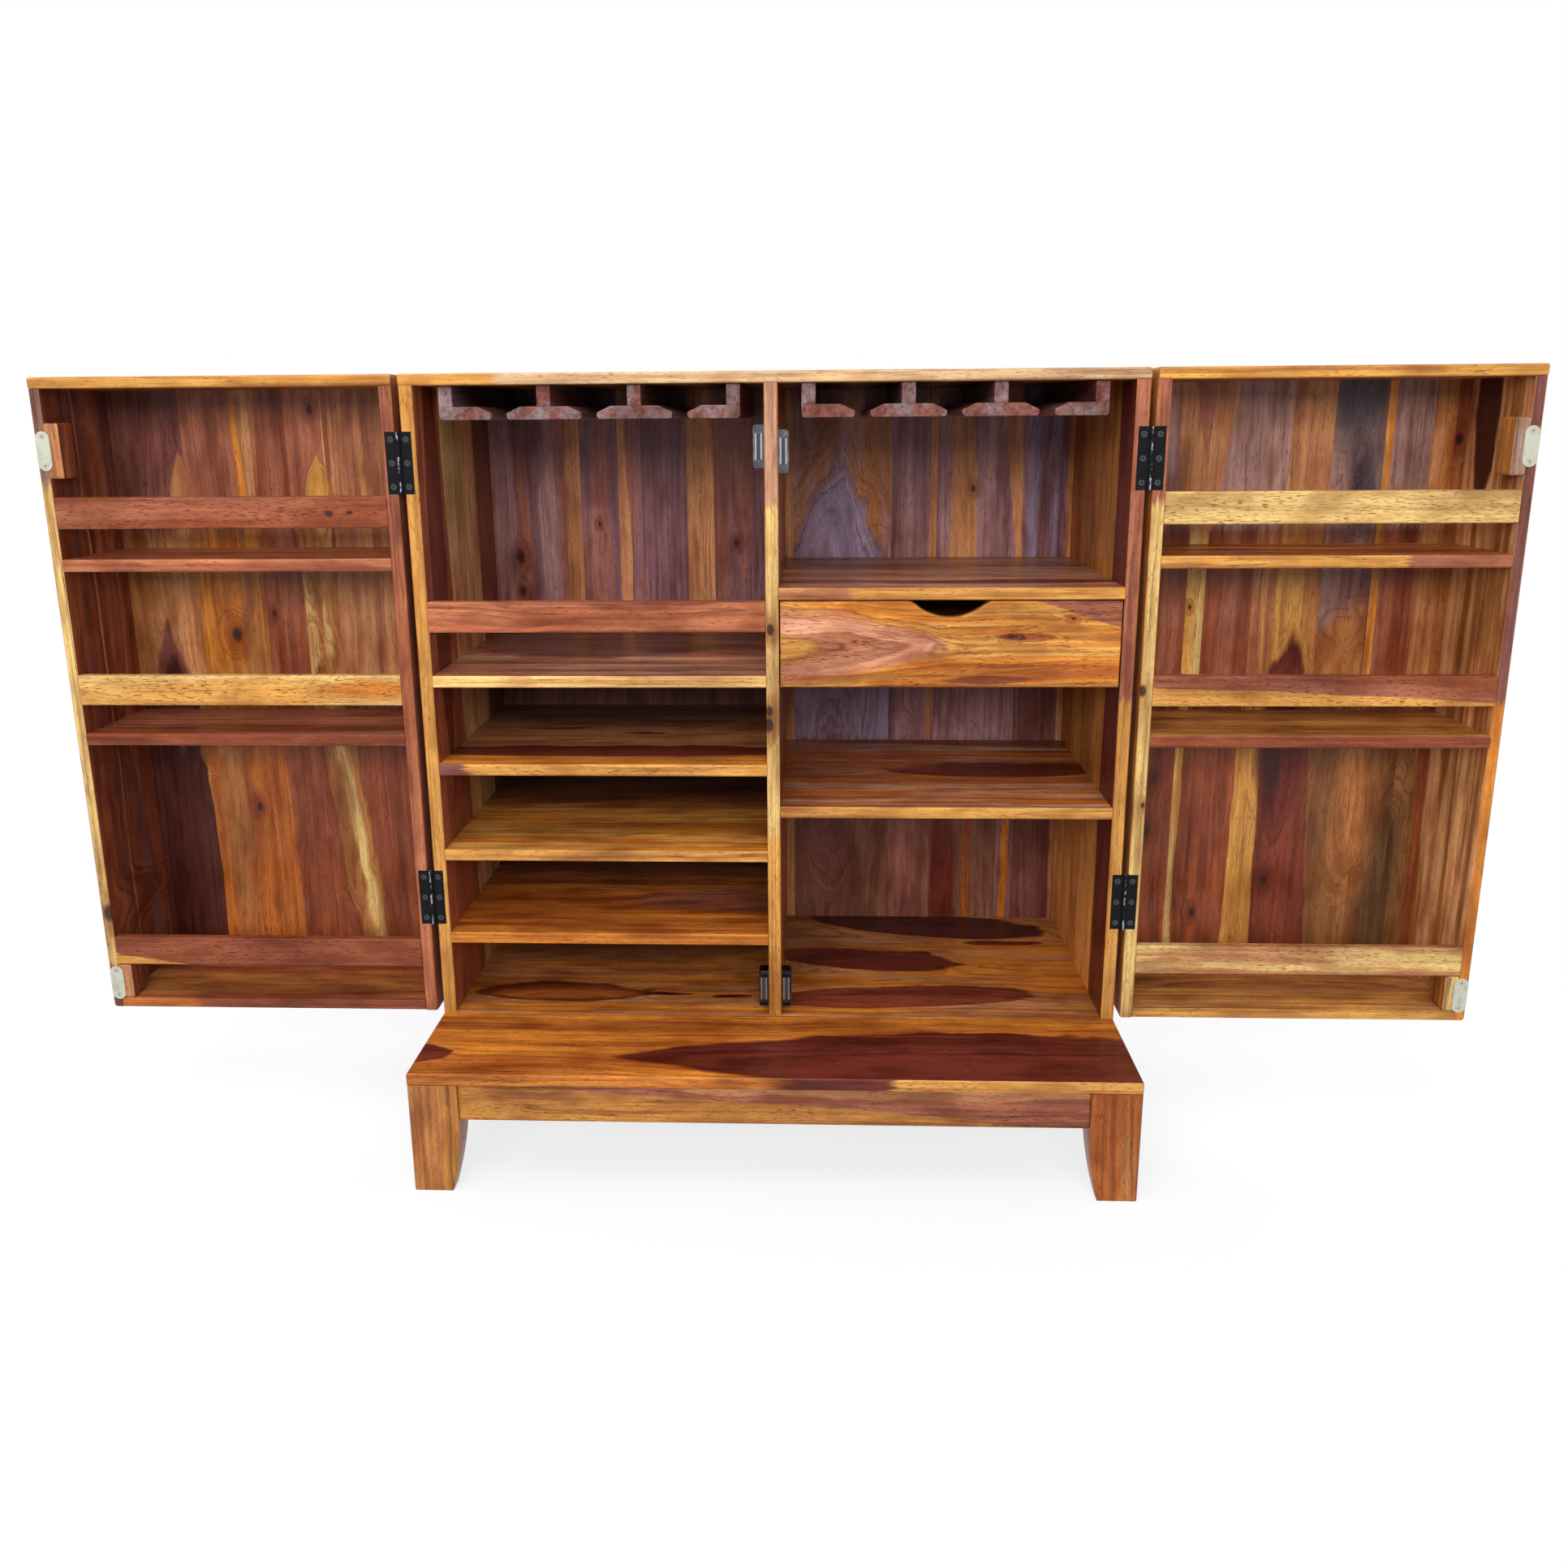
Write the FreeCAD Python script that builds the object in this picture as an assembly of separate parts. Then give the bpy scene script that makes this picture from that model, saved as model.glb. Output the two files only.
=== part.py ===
import FreeCAD, Part
import math
import os

# Bar cabinet in solid wood: a two column carcass on a low leg base, two deep box doors that carry
# bottle shelves, a drawer with a thumb notch, hanging stemware rails and magnetic catches.
# Millimetres. +X is to the viewer's right, +Y to the back, +Z up. The origin is on the floor under
# the middle of the base. The doors are drawn swung open by half a turn, flush with the front.

# Overall
WIDTH = 914.0
BODY_DEPTH = 348.0
BODY_HEIGHT = 852.0
LEG_HEIGHT = 148.0

# Boards
SIDE_T = 17.0
TOP_T = 14.0
BACK_T = 12.0
SHELF_T = 16.0
BASE_T = 16.0
EASE = 1.5

# Base
LEG_W = 63.0
LEG_D = 45.0
FOOT_W = 50.0
FOOT_D = 21.0
LEG_BULGE = 3.0
LEG_EASE = 2.0
APRON_H = 50.0
APRON_T = 16.0
APRON_INSET = 5.0

# Left column
BOTTLE_BAY = 102.6
BOTTLE_SHELVES = 4
GUARD_LIFT = 56.0
GUARD_H = 40.0
GUARD_T = 14.0

# Right column and drawer
LOWER_BAY = 283.0
MIDDLE_BAY = 160.5
DRAWER_FRONT_H = 110.5
DRAWER_FRONT_T = 16.0
DRAWER_GAP = 1.5
DRAWER_REAR_GAP = 26.0
DRAWER_SIDE_T = 12.0
DRAWER_SIDE_H = 76.0
DRAWER_BOTTOM_T = 6.0
DRAWER_BOTTOM_LIFT = 5.0
GROOVE_DEPTH = 5.0
GROOVE_FIT = 0.1
NOTCH_CHORD = 96.0
NOTCH_DEPTH = 20.5
NOTCH_EASE = 14.0
RUNNER_W = 18.0
RUNNER_H = 15.0
RUNNER_LIFT = 3.0
SLIDE_CLEAR = 0.3

# Stemware rails
STEM_SLOT = 19.0
STEM_T_W = 93.0
STEM_L_W = 65.0
STEM_MARGIN = 20.0
STEM_SETBACK = 10.0
STEM_WEB_W = 17.0
STEM_WEB_H = 26.0
STEM_FLANGE_H = 16.0
STEM_BEVEL_W = 17.0
STEM_BEVEL_H = 8.0
STEM_EASE = 2.5

# Doors
DOOR_DEPTH = 158.0
DOOR_GAP = 2.0
DOOR_LIFT = 3.0
DOOR_MEET = 4.0
DOOR_SIDE_T = 16.0
DOOR_FREE_T = 13.0
DOOR_END_T = 14.0
DOOR_PANEL_T = 16.0
DOOR_CORNER = 4.0
DOOR_MIDDLE_BAY = 214.0
DOOR_UPPER_BAY = 212.0
RAIL_H = 40.0
RAIL_T = 12.0
RAIL_LIFT = 38.5
BOTTOM_RAIL_LIFT = 50.0

# Butt hinges
HINGE_GAP = 9.0
HINGE_L = 76.2
HINGE_FROM_TOP = 107.5
HINGE_FROM_BOTTOM = 166.0
KNUCKLES = 5
KNUCKLE_R = 3.0
KNUCKLE_GAP = 0.3
LEAF_REACH = 16.5
LEAF_T = 1.8
LEAF_CLEAR = 0.3
MORTISE_FIT = 0.2
PIN_R = 1.5
PIN_FIT = 0.05
HINGE_SCREW_PITCH = 29.0

# Magnetic catches and strike plates
CATCH_W = 13.5
CATCH_H = 52.0
CATCH_DEPTH = 17.0
CATCH_SETBACK = 1.0
CATCH_CORNER = 4.0
CATCH_WALL = 1.6
CATCH_FROM_TOP = 90.0
CATCH_FROM_BOTTOM = 37.0
RIGHT_CATCH_DROP = 6.0
LUG_POCKET_H = 6.6
LUG_POCKET_DEPTH = 9.0
POLE_H = 31.0
POLE_T = 1.8
POLE_LIP = 0.8
MAGNET_T = 5.0
MAGNET_DEPTH = 11.0
MAGNET_FIT = 0.15
MAGNET_FLOAT = 1.5
STRIKE_GAP = 0.4
PLATE_W = 18.0
PLATE_H = 49.0
PLATE_T = 1.2
PLATE_INSET = 1.0
PLATE_SCREW_PITCH = 36.0
BLOCK_W = 18.0
BLOCK_H = 69.0
BLOCK_DEPTH = 34.0
BLOCK_BEVEL = 5.0

# Wood screws
SCREW_HEAD_R = 3.8
SCREW_R = 1.7
SCREW_L = 13.0
LUG_SCREW_HEAD_R = 2.6
LUG_SCREW_R = 1.3
LUG_SCREW_L = 8.0
SCREW_SIDES = 6
SCREW_FIT = 0.05

# Door knobs
KNOB_W = 30.0
KNOB_H = 26.0
KNOB_BEVEL = 5.0
KNOB_NECK_W = 17.0
KNOB_NECK_L = 10.0
KNOB_TENON_W = 9.0
KNOB_TENON_L = 10.0
KNOB_FIT = 0.05
KNOB_FROM_EDGE = 34.0

# Planes and spans that follow from the sizes above
LEFT = -1
RIGHT = 1
X_AXIS = FreeCAD.Vector(1, 0, 0)
Y_AXIS = FreeCAD.Vector(0, 1, 0)
Z_AXIS = FreeCAD.Vector(0, 0, 1)
TOL = 1e-4
OVERCUT = 1.0

DEPTH = BODY_DEPTH + DOOR_GAP + DOOR_DEPTH
HALF_W = WIDTH / 2
BACK = DEPTH / 2
BASE_FRONT = -DEPTH / 2
FRONT = BACK - BODY_DEPTH
PANEL_FACE = BACK - BACK_T
FLOOR_Z = LEG_HEIGHT + BASE_T
TOP_Z = FLOOR_Z + BODY_HEIGHT
CEILING_Z = TOP_Z - TOP_T
SIDE_FACE = HALF_W - SIDE_T
DIVIDER_FACE = SIDE_T / 2

DOOR_OUTER = FRONT + DOOR_DEPTH
DOOR_PANEL_FACE = DOOR_OUTER - DOOR_PANEL_T
DOOR_NEAR = HALF_W + HINGE_GAP
DOOR_FAR = DOOR_NEAR + HALF_W - DOOR_MEET / 2
DOOR_BOTTOM_Z = FLOOR_Z + DOOR_LIFT
DOOR_FLOOR_Z = DOOR_BOTTOM_Z + DOOR_END_T
DOOR_CEILING_Z = TOP_Z - DOOR_END_T
DOOR_UPPER_SHELF_Z = DOOR_CEILING_Z - DOOR_UPPER_BAY - SHELF_T
DOOR_SHELF_Z = (DOOR_UPPER_SHELF_Z - DOOR_MIDDLE_BAY - SHELF_T, DOOR_UPPER_SHELF_Z)
HINGE_Z = (TOP_Z - HINGE_FROM_TOP, DOOR_BOTTOM_Z + HINGE_FROM_BOTTOM)

LOWER_SHELF_Z = FLOOR_Z + LOWER_BAY
DRAWER_Z = LOWER_SHELF_Z + SHELF_T + MIDDLE_BAY
DRAWER_SHELF_Z = DRAWER_Z + DRAWER_FRONT_H + DRAWER_GAP
RUNNER_TOP_Z = DRAWER_Z + RUNNER_LIFT + RUNNER_H
DRAWER_BACK = PANEL_FACE - DRAWER_REAR_GAP
POLE_TIP = FRONT - DOOR_GAP + PLATE_T + STRIKE_GAP

parts = {}


def block(x, y, z):
    """Box between two values on each axis, given in any order."""
    low = FreeCAD.Vector(min(x), min(y), min(z))
    return Part.makeBox(abs(x[1] - x[0]), abs(y[1] - y[0]), abs(z[1] - z[0]), low)


def edges_where(solid, chosen):
    """Edges whose middle point and starting direction are chosen."""
    found = []
    for edge in solid.Edges:
        middle = edge.valueAt((edge.FirstParameter + edge.LastParameter) / 2)
        if chosen(middle, edge.tangentAt(edge.FirstParameter)):
            found.append(edge)
    return found


def ease(solid, size, chosen):
    """Plane a small flat along the chosen edges, as sandpaper takes off an arris."""
    return solid.makeChamfer(size, edges_where(solid, chosen))


def fillet(solid, radius, chosen):
    return solid.makeFillet(radius, edges_where(solid, chosen))


def ease_front(solid, along):
    """Ease the front arrises that run along one axis."""
    def on_front(middle, direction):
        return abs(middle.y - FRONT) < TOL and abs(direction.dot(along)) > 1 - TOL
    return ease(solid, EASE, on_front)


def flat_face(corners):
    return Part.Face(Part.makePolygon(corners + corners[:1]))


def extrude(points, y0, y1):
    """Prism from an outline in X and Z, run from y0 to y1."""
    face = flat_face([FreeCAD.Vector(x, y0, z) for x, z in points])
    return face.extrude(FreeCAD.Vector(0, y1 - y0, 0))


def skin(rings):
    """Solid with flat faces between rings that have the same number of corners."""
    faces = [flat_face(rings[0]), flat_face(rings[-1])]
    for low, high in zip(rings, rings[1:]):
        for i in range(len(low)):
            faces.append(flat_face([low[i - 1], low[i], high[i], high[i - 1]]))
    solid = Part.makeSolid(Part.makeShell(faces))
    if solid.Volume < 0:
        solid.reverse()
    return solid


def screw_ring(at, into, radius):
    """Corners of the many sided section of a screw, with flats that touch its true radius."""
    corner = radius / math.cos(math.pi / SCREW_SIDES)
    across = into.cross(Z_AXIS)
    turns = [math.pi * (2 * i + 1) / SCREW_SIDES for i in range(SCREW_SIDES)]
    return [at + across * corner * math.cos(a) + Z_AXIS * corner * math.sin(a) for a in turns]


def countersunk(at, into, head_r, shank_r, length, grow=0.0):
    """Countersunk screw with its head flush at a point, or its hole where grow is a clearance."""
    stations = ((0, head_r + grow), (head_r - shank_r, shank_r + grow), (length + grow, shank_r + grow))
    return skin([screw_ring(at + into * along, into, radius) for along, radius in stations])


def wood_screw(at, into, grow=0.0):
    return countersunk(at, into, SCREW_HEAD_R, SCREW_R, SCREW_L, grow)


def lug_screw(at, into, grow=0.0):
    return countersunk(at, into, LUG_SCREW_HEAD_R, LUG_SCREW_R, LUG_SCREW_L, grow)


def cut_all(solid, tools):
    for tool in tools:
        solid = solid.cut(tool)
    return solid


def add(name, *solids):
    """Keep one node: a single solid, or a group of like solids."""
    parts[name] = list(solids)


# Base

def leg_side(width, foot, place):
    """Face of a leg: upright outside, and inside a curve from the apron's underside down to the foot.

    place turns a distance in from the outer corner and a height into a point.
    """
    knee_z = LEG_HEIGHT - APRON_H
    outer = [place(0, 0), place(0, LEG_HEIGHT), place(width, LEG_HEIGHT), place(width, knee_z)]
    calf = place((width + foot) / 2 + LEG_BULGE, knee_z / 2)
    toe = place(foot, 0)
    edges = [Part.makeLine(p, q) for p, q in zip(outer, outer[1:])]
    edges += [Part.Arc(outer[-1], calf, toe).toShape(), Part.makeLine(toe, outer[0])]
    return Part.Face(Part.Wire(edges))


def leg(side, end):
    """Leg that is square at the aprons and curves in to a smaller foot on its two inner sides."""
    x = side * HALF_W
    y = BACK if end == "back" else BASE_FRONT
    inward = -1 if end == "back" else 1
    front = leg_side(LEG_W, FOOT_W, lambda d, z: FreeCAD.Vector(x - side * d, y, z))
    flank = leg_side(LEG_D, FOOT_D, lambda d, z: FreeCAD.Vector(x, y + inward * d, z))
    solid = front.extrude(Y_AXIS * inward * LEG_D).common(flank.extrude(X_AXIS * -side * LEG_W))

    def outer_corner(middle, direction):
        return abs(middle.x - x) < TOL and abs(middle.y - y) < TOL
    return ease(solid, LEG_EASE, outer_corner)


def apron(x, y):
    return block(x, y, (LEG_HEIGHT - APRON_H, LEG_HEIGHT))


def make_base():
    top = (LEG_HEIGHT, FLOOR_Z)
    front_board = block((-HALF_W, HALF_W), (BASE_FRONT, FRONT), top)

    def outer_arris(middle, direction):
        on_front = abs(middle.y - BASE_FRONT) < TOL
        on_side = abs(abs(middle.x) - HALF_W) < TOL and abs(middle.z - FLOOR_Z) < TOL
        return on_front or on_side
    add("base_front_board", ease(front_board, EASE, outer_arris))
    add("cabinet_floor", block((-HALF_W, HALF_W), (FRONT, BACK), top))
    add("front_legs", leg(LEFT, "front"), leg(RIGHT, "front"))
    add("back_legs", leg(LEFT, "back"), leg(RIGHT, "back"))

    between_x = (-HALF_W + LEG_W, HALF_W - LEG_W)
    between_y = (BASE_FRONT + LEG_D, BACK - LEG_D)
    near = BASE_FRONT + APRON_INSET
    far = BACK - APRON_INSET
    outer_x = HALF_W - APRON_INSET
    add("front_apron", apron(between_x, (near, near + APRON_T)))
    add("back_apron", apron(between_x, (far - APRON_T, far)))
    add("side_aprons", *[apron((s * outer_x, s * (outer_x - APRON_T)), between_y) for s in (LEFT, RIGHT)])


# Hinges

def hinge_axis(side):
    return FreeCAD.Vector(side * (HALF_W + HINGE_GAP / 2), FRONT - DOOR_GAP / 2, 0)


def hinge_screw_points(side, toward):
    """Screw heads on one leaf of both hinges, on the leaf's front face."""
    x = hinge_axis(side).x + toward * (LEAF_REACH + KNUCKLE_R) / 2
    rows = [z + step * HINGE_SCREW_PITCH for z in HINGE_Z for step in (-1, 0, 1)]
    return [FreeCAD.Vector(x, FRONT, z) for z in rows]


def hinge_leaf(side, toward, z, knuckles):
    """Leaf plate let in flush with the front, with its own knuckles rolled round the pin."""
    axis = hinge_axis(side)
    pitch = HINGE_L / KNUCKLES
    foot = z - HINGE_L / 2
    thickness = (FRONT, FRONT + LEAF_T)
    leaf = block((axis.x, axis.x + toward * LEAF_REACH), thickness, (foot, foot + HINGE_L))
    for i in range(KNUCKLES):
        start = foot + i * pitch
        if i in knuckles:
            at = FreeCAD.Vector(axis.x, axis.y, start + KNUCKLE_GAP / 2)
            leaf = leaf.fuse(Part.makeCylinder(KNUCKLE_R, pitch - KNUCKLE_GAP, at))
        else:
            room = (axis.x - toward * OVERCUT, axis.x + toward * (KNUCKLE_R + LEAF_CLEAR))
            ends = (start - KNUCKLE_GAP / 2, start + pitch + KNUCKLE_GAP / 2)
            leaf = leaf.cut(block(room, (FRONT - OVERCUT, FRONT + LEAF_T + OVERCUT), ends))
    at = FreeCAD.Vector(axis.x, axis.y, foot - OVERCUT)
    leaf = leaf.cut(Part.makeCylinder(PIN_R + PIN_FIT, HINGE_L + 2 * OVERCUT, at)).removeSplitter()
    holes = [p for p in hinge_screw_points(side, toward) if abs(p.z - z) < HINGE_L / 2]
    return cut_all(leaf, [wood_screw(p, Y_AXIS, SCREW_FIT) for p in holes])


def hinge_pin(side, z):
    """Pin through all the knuckles, flush with the ends of the barrel."""
    axis = hinge_axis(side)
    return Part.makeCylinder(PIN_R, HINGE_L, FreeCAD.Vector(axis.x, axis.y, z - HINGE_L / 2))


def hinge_cuts(side, toward):
    """Mortises and screw holes for one side's leaves, to cut from the board that takes them."""
    reach = hinge_axis(side).x + toward * (LEAF_REACH + MORTISE_FIT)
    mouth = hinge_axis(side).x
    half = HINGE_L / 2 + MORTISE_FIT
    cuts = [block((mouth, reach), (FRONT - OVERCUT, FRONT + LEAF_T), (z - half, z + half)) for z in HINGE_Z]
    return cuts + [wood_screw(p, Y_AXIS, SCREW_FIT) for p in hinge_screw_points(side, toward)]


def make_hinges():
    middle = range(1, KNUCKLES, 2)
    outer = range(0, KNUCKLES, 2)
    sides = (LEFT, RIGHT)
    add("hinge_cabinet_leaves", *[hinge_leaf(s, -s, z, outer) for s in sides for z in HINGE_Z])
    add("hinge_pins", *[hinge_pin(s, z) for s in sides for z in HINGE_Z])
    add("left_hinge_door_leaves", *[hinge_leaf(LEFT, LEFT, z, middle) for z in HINGE_Z])
    add("right_hinge_door_leaves", *[hinge_leaf(RIGHT, RIGHT, z, middle) for z in HINGE_Z])


# Magnetic catches

def catch_heights(side):
    """Middle of the upper and the lower catch on one face of the divider."""
    drop = RIGHT_CATCH_DROP if side == RIGHT else 0.0
    return (TOP_Z - CATCH_FROM_TOP - drop, DOOR_BOTTOM_Z + CATCH_FROM_BOTTOM)


def catch_middle_x(side):
    return side * (DIVIDER_FACE + CATCH_W / 2)


def lug_screw_points(side, z):
    """Screw heads inside the two end pockets of a catch, on the wall against the divider."""
    x = side * (DIVIDER_FACE + CATCH_WALL)
    y = FRONT + CATCH_SETBACK + LUG_POCKET_DEPTH / 2
    offset = CATCH_H / 2 - CATCH_WALL - LUG_POCKET_H / 2
    return [FreeCAD.Vector(x, y, z + step * offset) for step in (-1, 1)]


def catch_housing(side, z):
    """Rounded case with a middle pocket for the magnet and an open pocket at each end."""
    x = (side * DIVIDER_FACE, side * (DIVIDER_FACE + CATCH_W))
    face = FRONT + CATCH_SETBACK
    case = block(x, (face, face + CATCH_DEPTH), (z - CATCH_H / 2, z + CATCH_H / 2))
    outer_x = x[1]

    def outer_corner(middle, direction):
        return abs(middle.x - outer_x) < TOL and abs(direction.y) > 1 - TOL
    case = fillet(case, CATCH_CORNER, outer_corner)
    half_w = MAGNET_T / 2 + POLE_T + MAGNET_FIT
    half_h = POLE_H / 2 + MAGNET_FIT
    middle_x = catch_middle_x(side)
    deep = POLE_TIP + POLE_LIP + MAGNET_DEPTH + MAGNET_FLOAT + MAGNET_FIT
    case = case.cut(block((middle_x - half_w, middle_x + half_w), (face - OVERCUT, deep),
                          (z - half_h, z + half_h)))
    inner_x = (x[0] + side * CATCH_WALL, x[1] - side * CATCH_WALL)
    for point in lug_screw_points(side, z):
        room = (point.z - LUG_POCKET_H / 2, point.z + LUG_POCKET_H / 2)
        case = case.cut(block(inner_x, (face - OVERCUT, face + LUG_POCKET_DEPTH), room))
        case = case.cut(lug_screw(point, X_AXIS * -side, SCREW_FIT))
    return case


def magnet_pack(side, z):
    """Magnet between two pole plates whose lips stand proud of it, free to float in the case."""
    middle_x = catch_middle_x(side)
    half_h = POLE_H / 2
    height = (z - half_h, z + half_h)
    deep = POLE_TIP + POLE_LIP + MAGNET_DEPTH
    inner = MAGNET_T / 2
    outer = inner + POLE_T
    magnet = block((middle_x - inner, middle_x + inner), (POLE_TIP + POLE_LIP, deep), height)
    poles = [block((middle_x + s * inner, middle_x + s * outer), (POLE_TIP, deep), height)
             for s in (LEFT, RIGHT)]
    return [magnet] + poles


def make_catches():
    places = [(s, z) for s in (LEFT, RIGHT) for z in catch_heights(s)]
    add("catch_housings", *[catch_housing(s, z) for s, z in places])
    names = ("upper_left_magnet", "lower_left_magnet", "upper_right_magnet", "lower_right_magnet")
    for name, (s, z) in zip(names, places):
        add(name, *magnet_pack(s, z))


# Carcass

def make_carcass():
    depth = (FRONT, BACK)
    inside = (FRONT, PANEL_FACE)
    upright = (FLOOR_Z, CEILING_Z)
    for side, name in ((LEFT, "left_side"), (RIGHT, "right_side")):
        board = ease_front(block((side * HALF_W, side * SIDE_FACE), depth, upright), Z_AXIS)
        add(name, cut_all(board, hinge_cuts(side, -side)))

    top = block((-HALF_W, HALF_W), depth, (CEILING_Z, TOP_Z))

    def top_arris(middle, direction):
        on_front = abs(middle.y - FRONT) < TOL and abs(direction.x) > 0.5
        on_end = abs(abs(middle.x) - HALF_W) < TOL and abs(middle.z - TOP_Z) < TOL
        return on_front or on_end
    add("top_board", ease(top, EASE, top_arris))
    add("back_panel", block((-SIDE_FACE, SIDE_FACE), (PANEL_FACE, BACK), upright))

    divider = ease_front(block((-DIVIDER_FACE, DIVIDER_FACE), inside, upright), Z_AXIS)
    holes = [lug_screw(p, X_AXIS * -s, SCREW_FIT)
             for s in (LEFT, RIGHT) for z in catch_heights(s) for p in lug_screw_points(s, z)]
    add("centre_divider", cut_all(divider, holes))


def shelf(x, underside):
    board = block(x, (FRONT, PANEL_FACE), (underside, underside + SHELF_T))
    return ease_front(board, X_AXIS)


def make_columns():
    left = (-SIDE_FACE, -DIVIDER_FACE)
    right = (DIVIDER_FACE, SIDE_FACE)
    pitch = BOTTLE_BAY + SHELF_T
    for i in range(BOTTLE_SHELVES):
        add(f"bottle_shelf_{i + 1}", shelf(left, FLOOR_Z + BOTTLE_BAY + i * pitch))
    guard_z = FLOOR_Z + BOTTLE_SHELVES * pitch + GUARD_LIFT
    guard = block(left, (FRONT, FRONT + GUARD_T), (guard_z, guard_z + GUARD_H))
    add("bottle_guard_rail", ease_front(guard, X_AXIS))
    add("lower_shelf", shelf(right, LOWER_SHELF_Z))
    add("drawer_shelf", shelf(right, DRAWER_SHELF_Z))

    runner_z = (RUNNER_TOP_Z - RUNNER_H, RUNNER_TOP_Z)
    runner_y = (FRONT + DRAWER_FRONT_T + DRAWER_GAP, PANEL_FACE)
    runners = [block((wall, wall + s * RUNNER_W), runner_y, runner_z) for wall, s in zip(right, (1, -1))]
    add("drawer_runners", *runners)
    add("left_glass_rails", *stem_rails(left))
    add("right_glass_rails", *stem_rails(right))


def stem_flange(x, bevels):
    """Flange under a rail's web, bevelled above on the sides that face a slot."""
    x0, x1 = x
    foot = CEILING_Z - STEM_WEB_H - STEM_FLANGE_H
    crown = foot + STEM_FLANGE_H
    shoulder = crown - STEM_BEVEL_H
    outline = [(x0, foot), (x1, foot)]
    outline += [(x1, shoulder), (x1 - STEM_BEVEL_W, crown)] if bevels[1] else [(x1, crown)]
    outline += [(x0 + STEM_BEVEL_W, crown), (x0, shoulder)] if bevels[0] else [(x0, crown)]
    flange = extrude(outline, FRONT + STEM_SETBACK, PANEL_FACE)

    def lower_arris(middle, direction):
        return abs(middle.z - foot) < TOL and abs(direction.y) > 1 - TOL
    return ease(flange, STEM_EASE, lower_arris)


def stem_rails(column):
    """Row of rails under the top: an angle at each end and tees between, with slots for stems."""
    room = column[1] - column[0] - 2 * (STEM_L_W + STEM_MARGIN) - STEM_SLOT
    tees = int(room // (STEM_T_W + STEM_SLOT))
    total = 2 * STEM_L_W + tees * STEM_T_W + (tees + 1) * STEM_SLOT
    x = (column[0] + column[1] - total) / 2
    web_z = (CEILING_Z - STEM_WEB_H, CEILING_Z)
    web_y = (FRONT + STEM_SETBACK, PANEL_FACE)
    solids = []
    for i in range(tees + 2):
        first = i == 0
        last = i == tees + 1
        width = STEM_L_W if first or last else STEM_T_W
        web_x = x + (width - STEM_WEB_W) / 2
        if first:
            web_x = x
        if last:
            web_x = x + width - STEM_WEB_W
        solids.append(block((web_x, web_x + STEM_WEB_W), web_y, web_z))
        solids.append(stem_flange((x, x + width), (not first, not last)))
        x += width + STEM_SLOT
    return solids


# Drawer

def make_drawer():
    x = (DIVIDER_FACE + DRAWER_GAP, SIDE_FACE - DRAWER_GAP)
    front_back = FRONT + DRAWER_FRONT_T
    front = block(x, (FRONT, front_back), (DRAWER_Z, DRAWER_Z + DRAWER_FRONT_H))
    top = DRAWER_Z + DRAWER_FRONT_H
    radius = (NOTCH_CHORD ** 2 / 4 + NOTCH_DEPTH ** 2) / (2 * NOTCH_DEPTH)
    centre = FreeCAD.Vector((x[0] + x[1]) / 2, FRONT - OVERCUT, top - NOTCH_DEPTH + radius)
    front = front.cut(Part.makeCylinder(radius, DRAWER_FRONT_T + 2 * OVERCUT, centre, Y_AXIS))

    def notch_shoulder(middle, direction):
        inner = abs(middle.x - centre.x) < NOTCH_CHORD / 2 + OVERCUT
        return inner and abs(middle.z - top) < TOL and abs(direction.y) > 1 - TOL
    front = fillet(front, NOTCH_EASE, notch_shoulder)

    def front_outline(middle, direction):
        return abs(middle.y - FRONT) < TOL
    front = ease(front, EASE, front_outline)

    side_z = RUNNER_TOP_Z + SLIDE_CLEAR
    inner_x = (x[0] + DRAWER_SIDE_T, x[1] - DRAWER_SIDE_T)
    bottom_z = side_z + DRAWER_BOTTOM_LIFT
    bottom_x = (inner_x[0] - GROOVE_DEPTH, inner_x[1] + GROOVE_DEPTH)
    bottom_y = (front_back - GROOVE_DEPTH, DRAWER_BACK - DRAWER_SIDE_T + GROOVE_DEPTH)
    groove = block((bottom_x[0] - GROOVE_FIT, bottom_x[1] + GROOVE_FIT),
                   (bottom_y[0] - GROOVE_FIT, bottom_y[1] + GROOVE_FIT),
                   (bottom_z, bottom_z + DRAWER_BOTTOM_T + GROOVE_FIT))
    side_y = (front_back, DRAWER_BACK)
    height = (side_z, side_z + DRAWER_SIDE_H)
    sides = [block((wall, inner), side_y, height).cut(groove) for wall, inner in zip(x, inner_x)]
    back = block(inner_x, (DRAWER_BACK - DRAWER_SIDE_T, DRAWER_BACK), height).cut(groove)
    add("drawer_front", front.cut(groove))
    add("drawer_sides", *sides)
    add("drawer_back", back)
    add("drawer_bottom", block(bottom_x, bottom_y, (bottom_z, bottom_z + DRAWER_BOTTOM_T)))


# Doors

def plate_middle_x(side):
    return side * (DOOR_FAR - PLATE_INSET - PLATE_W / 2)


def plate_screw_points(side):
    """Screw heads on both strike plates of a door, on the plates' faces."""
    rows = [z + step * PLATE_SCREW_PITCH / 2 for z in catch_heights(side) for step in (-1, 1)]
    return [FreeCAD.Vector(plate_middle_x(side), FRONT - PLATE_T, z) for z in rows]


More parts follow.
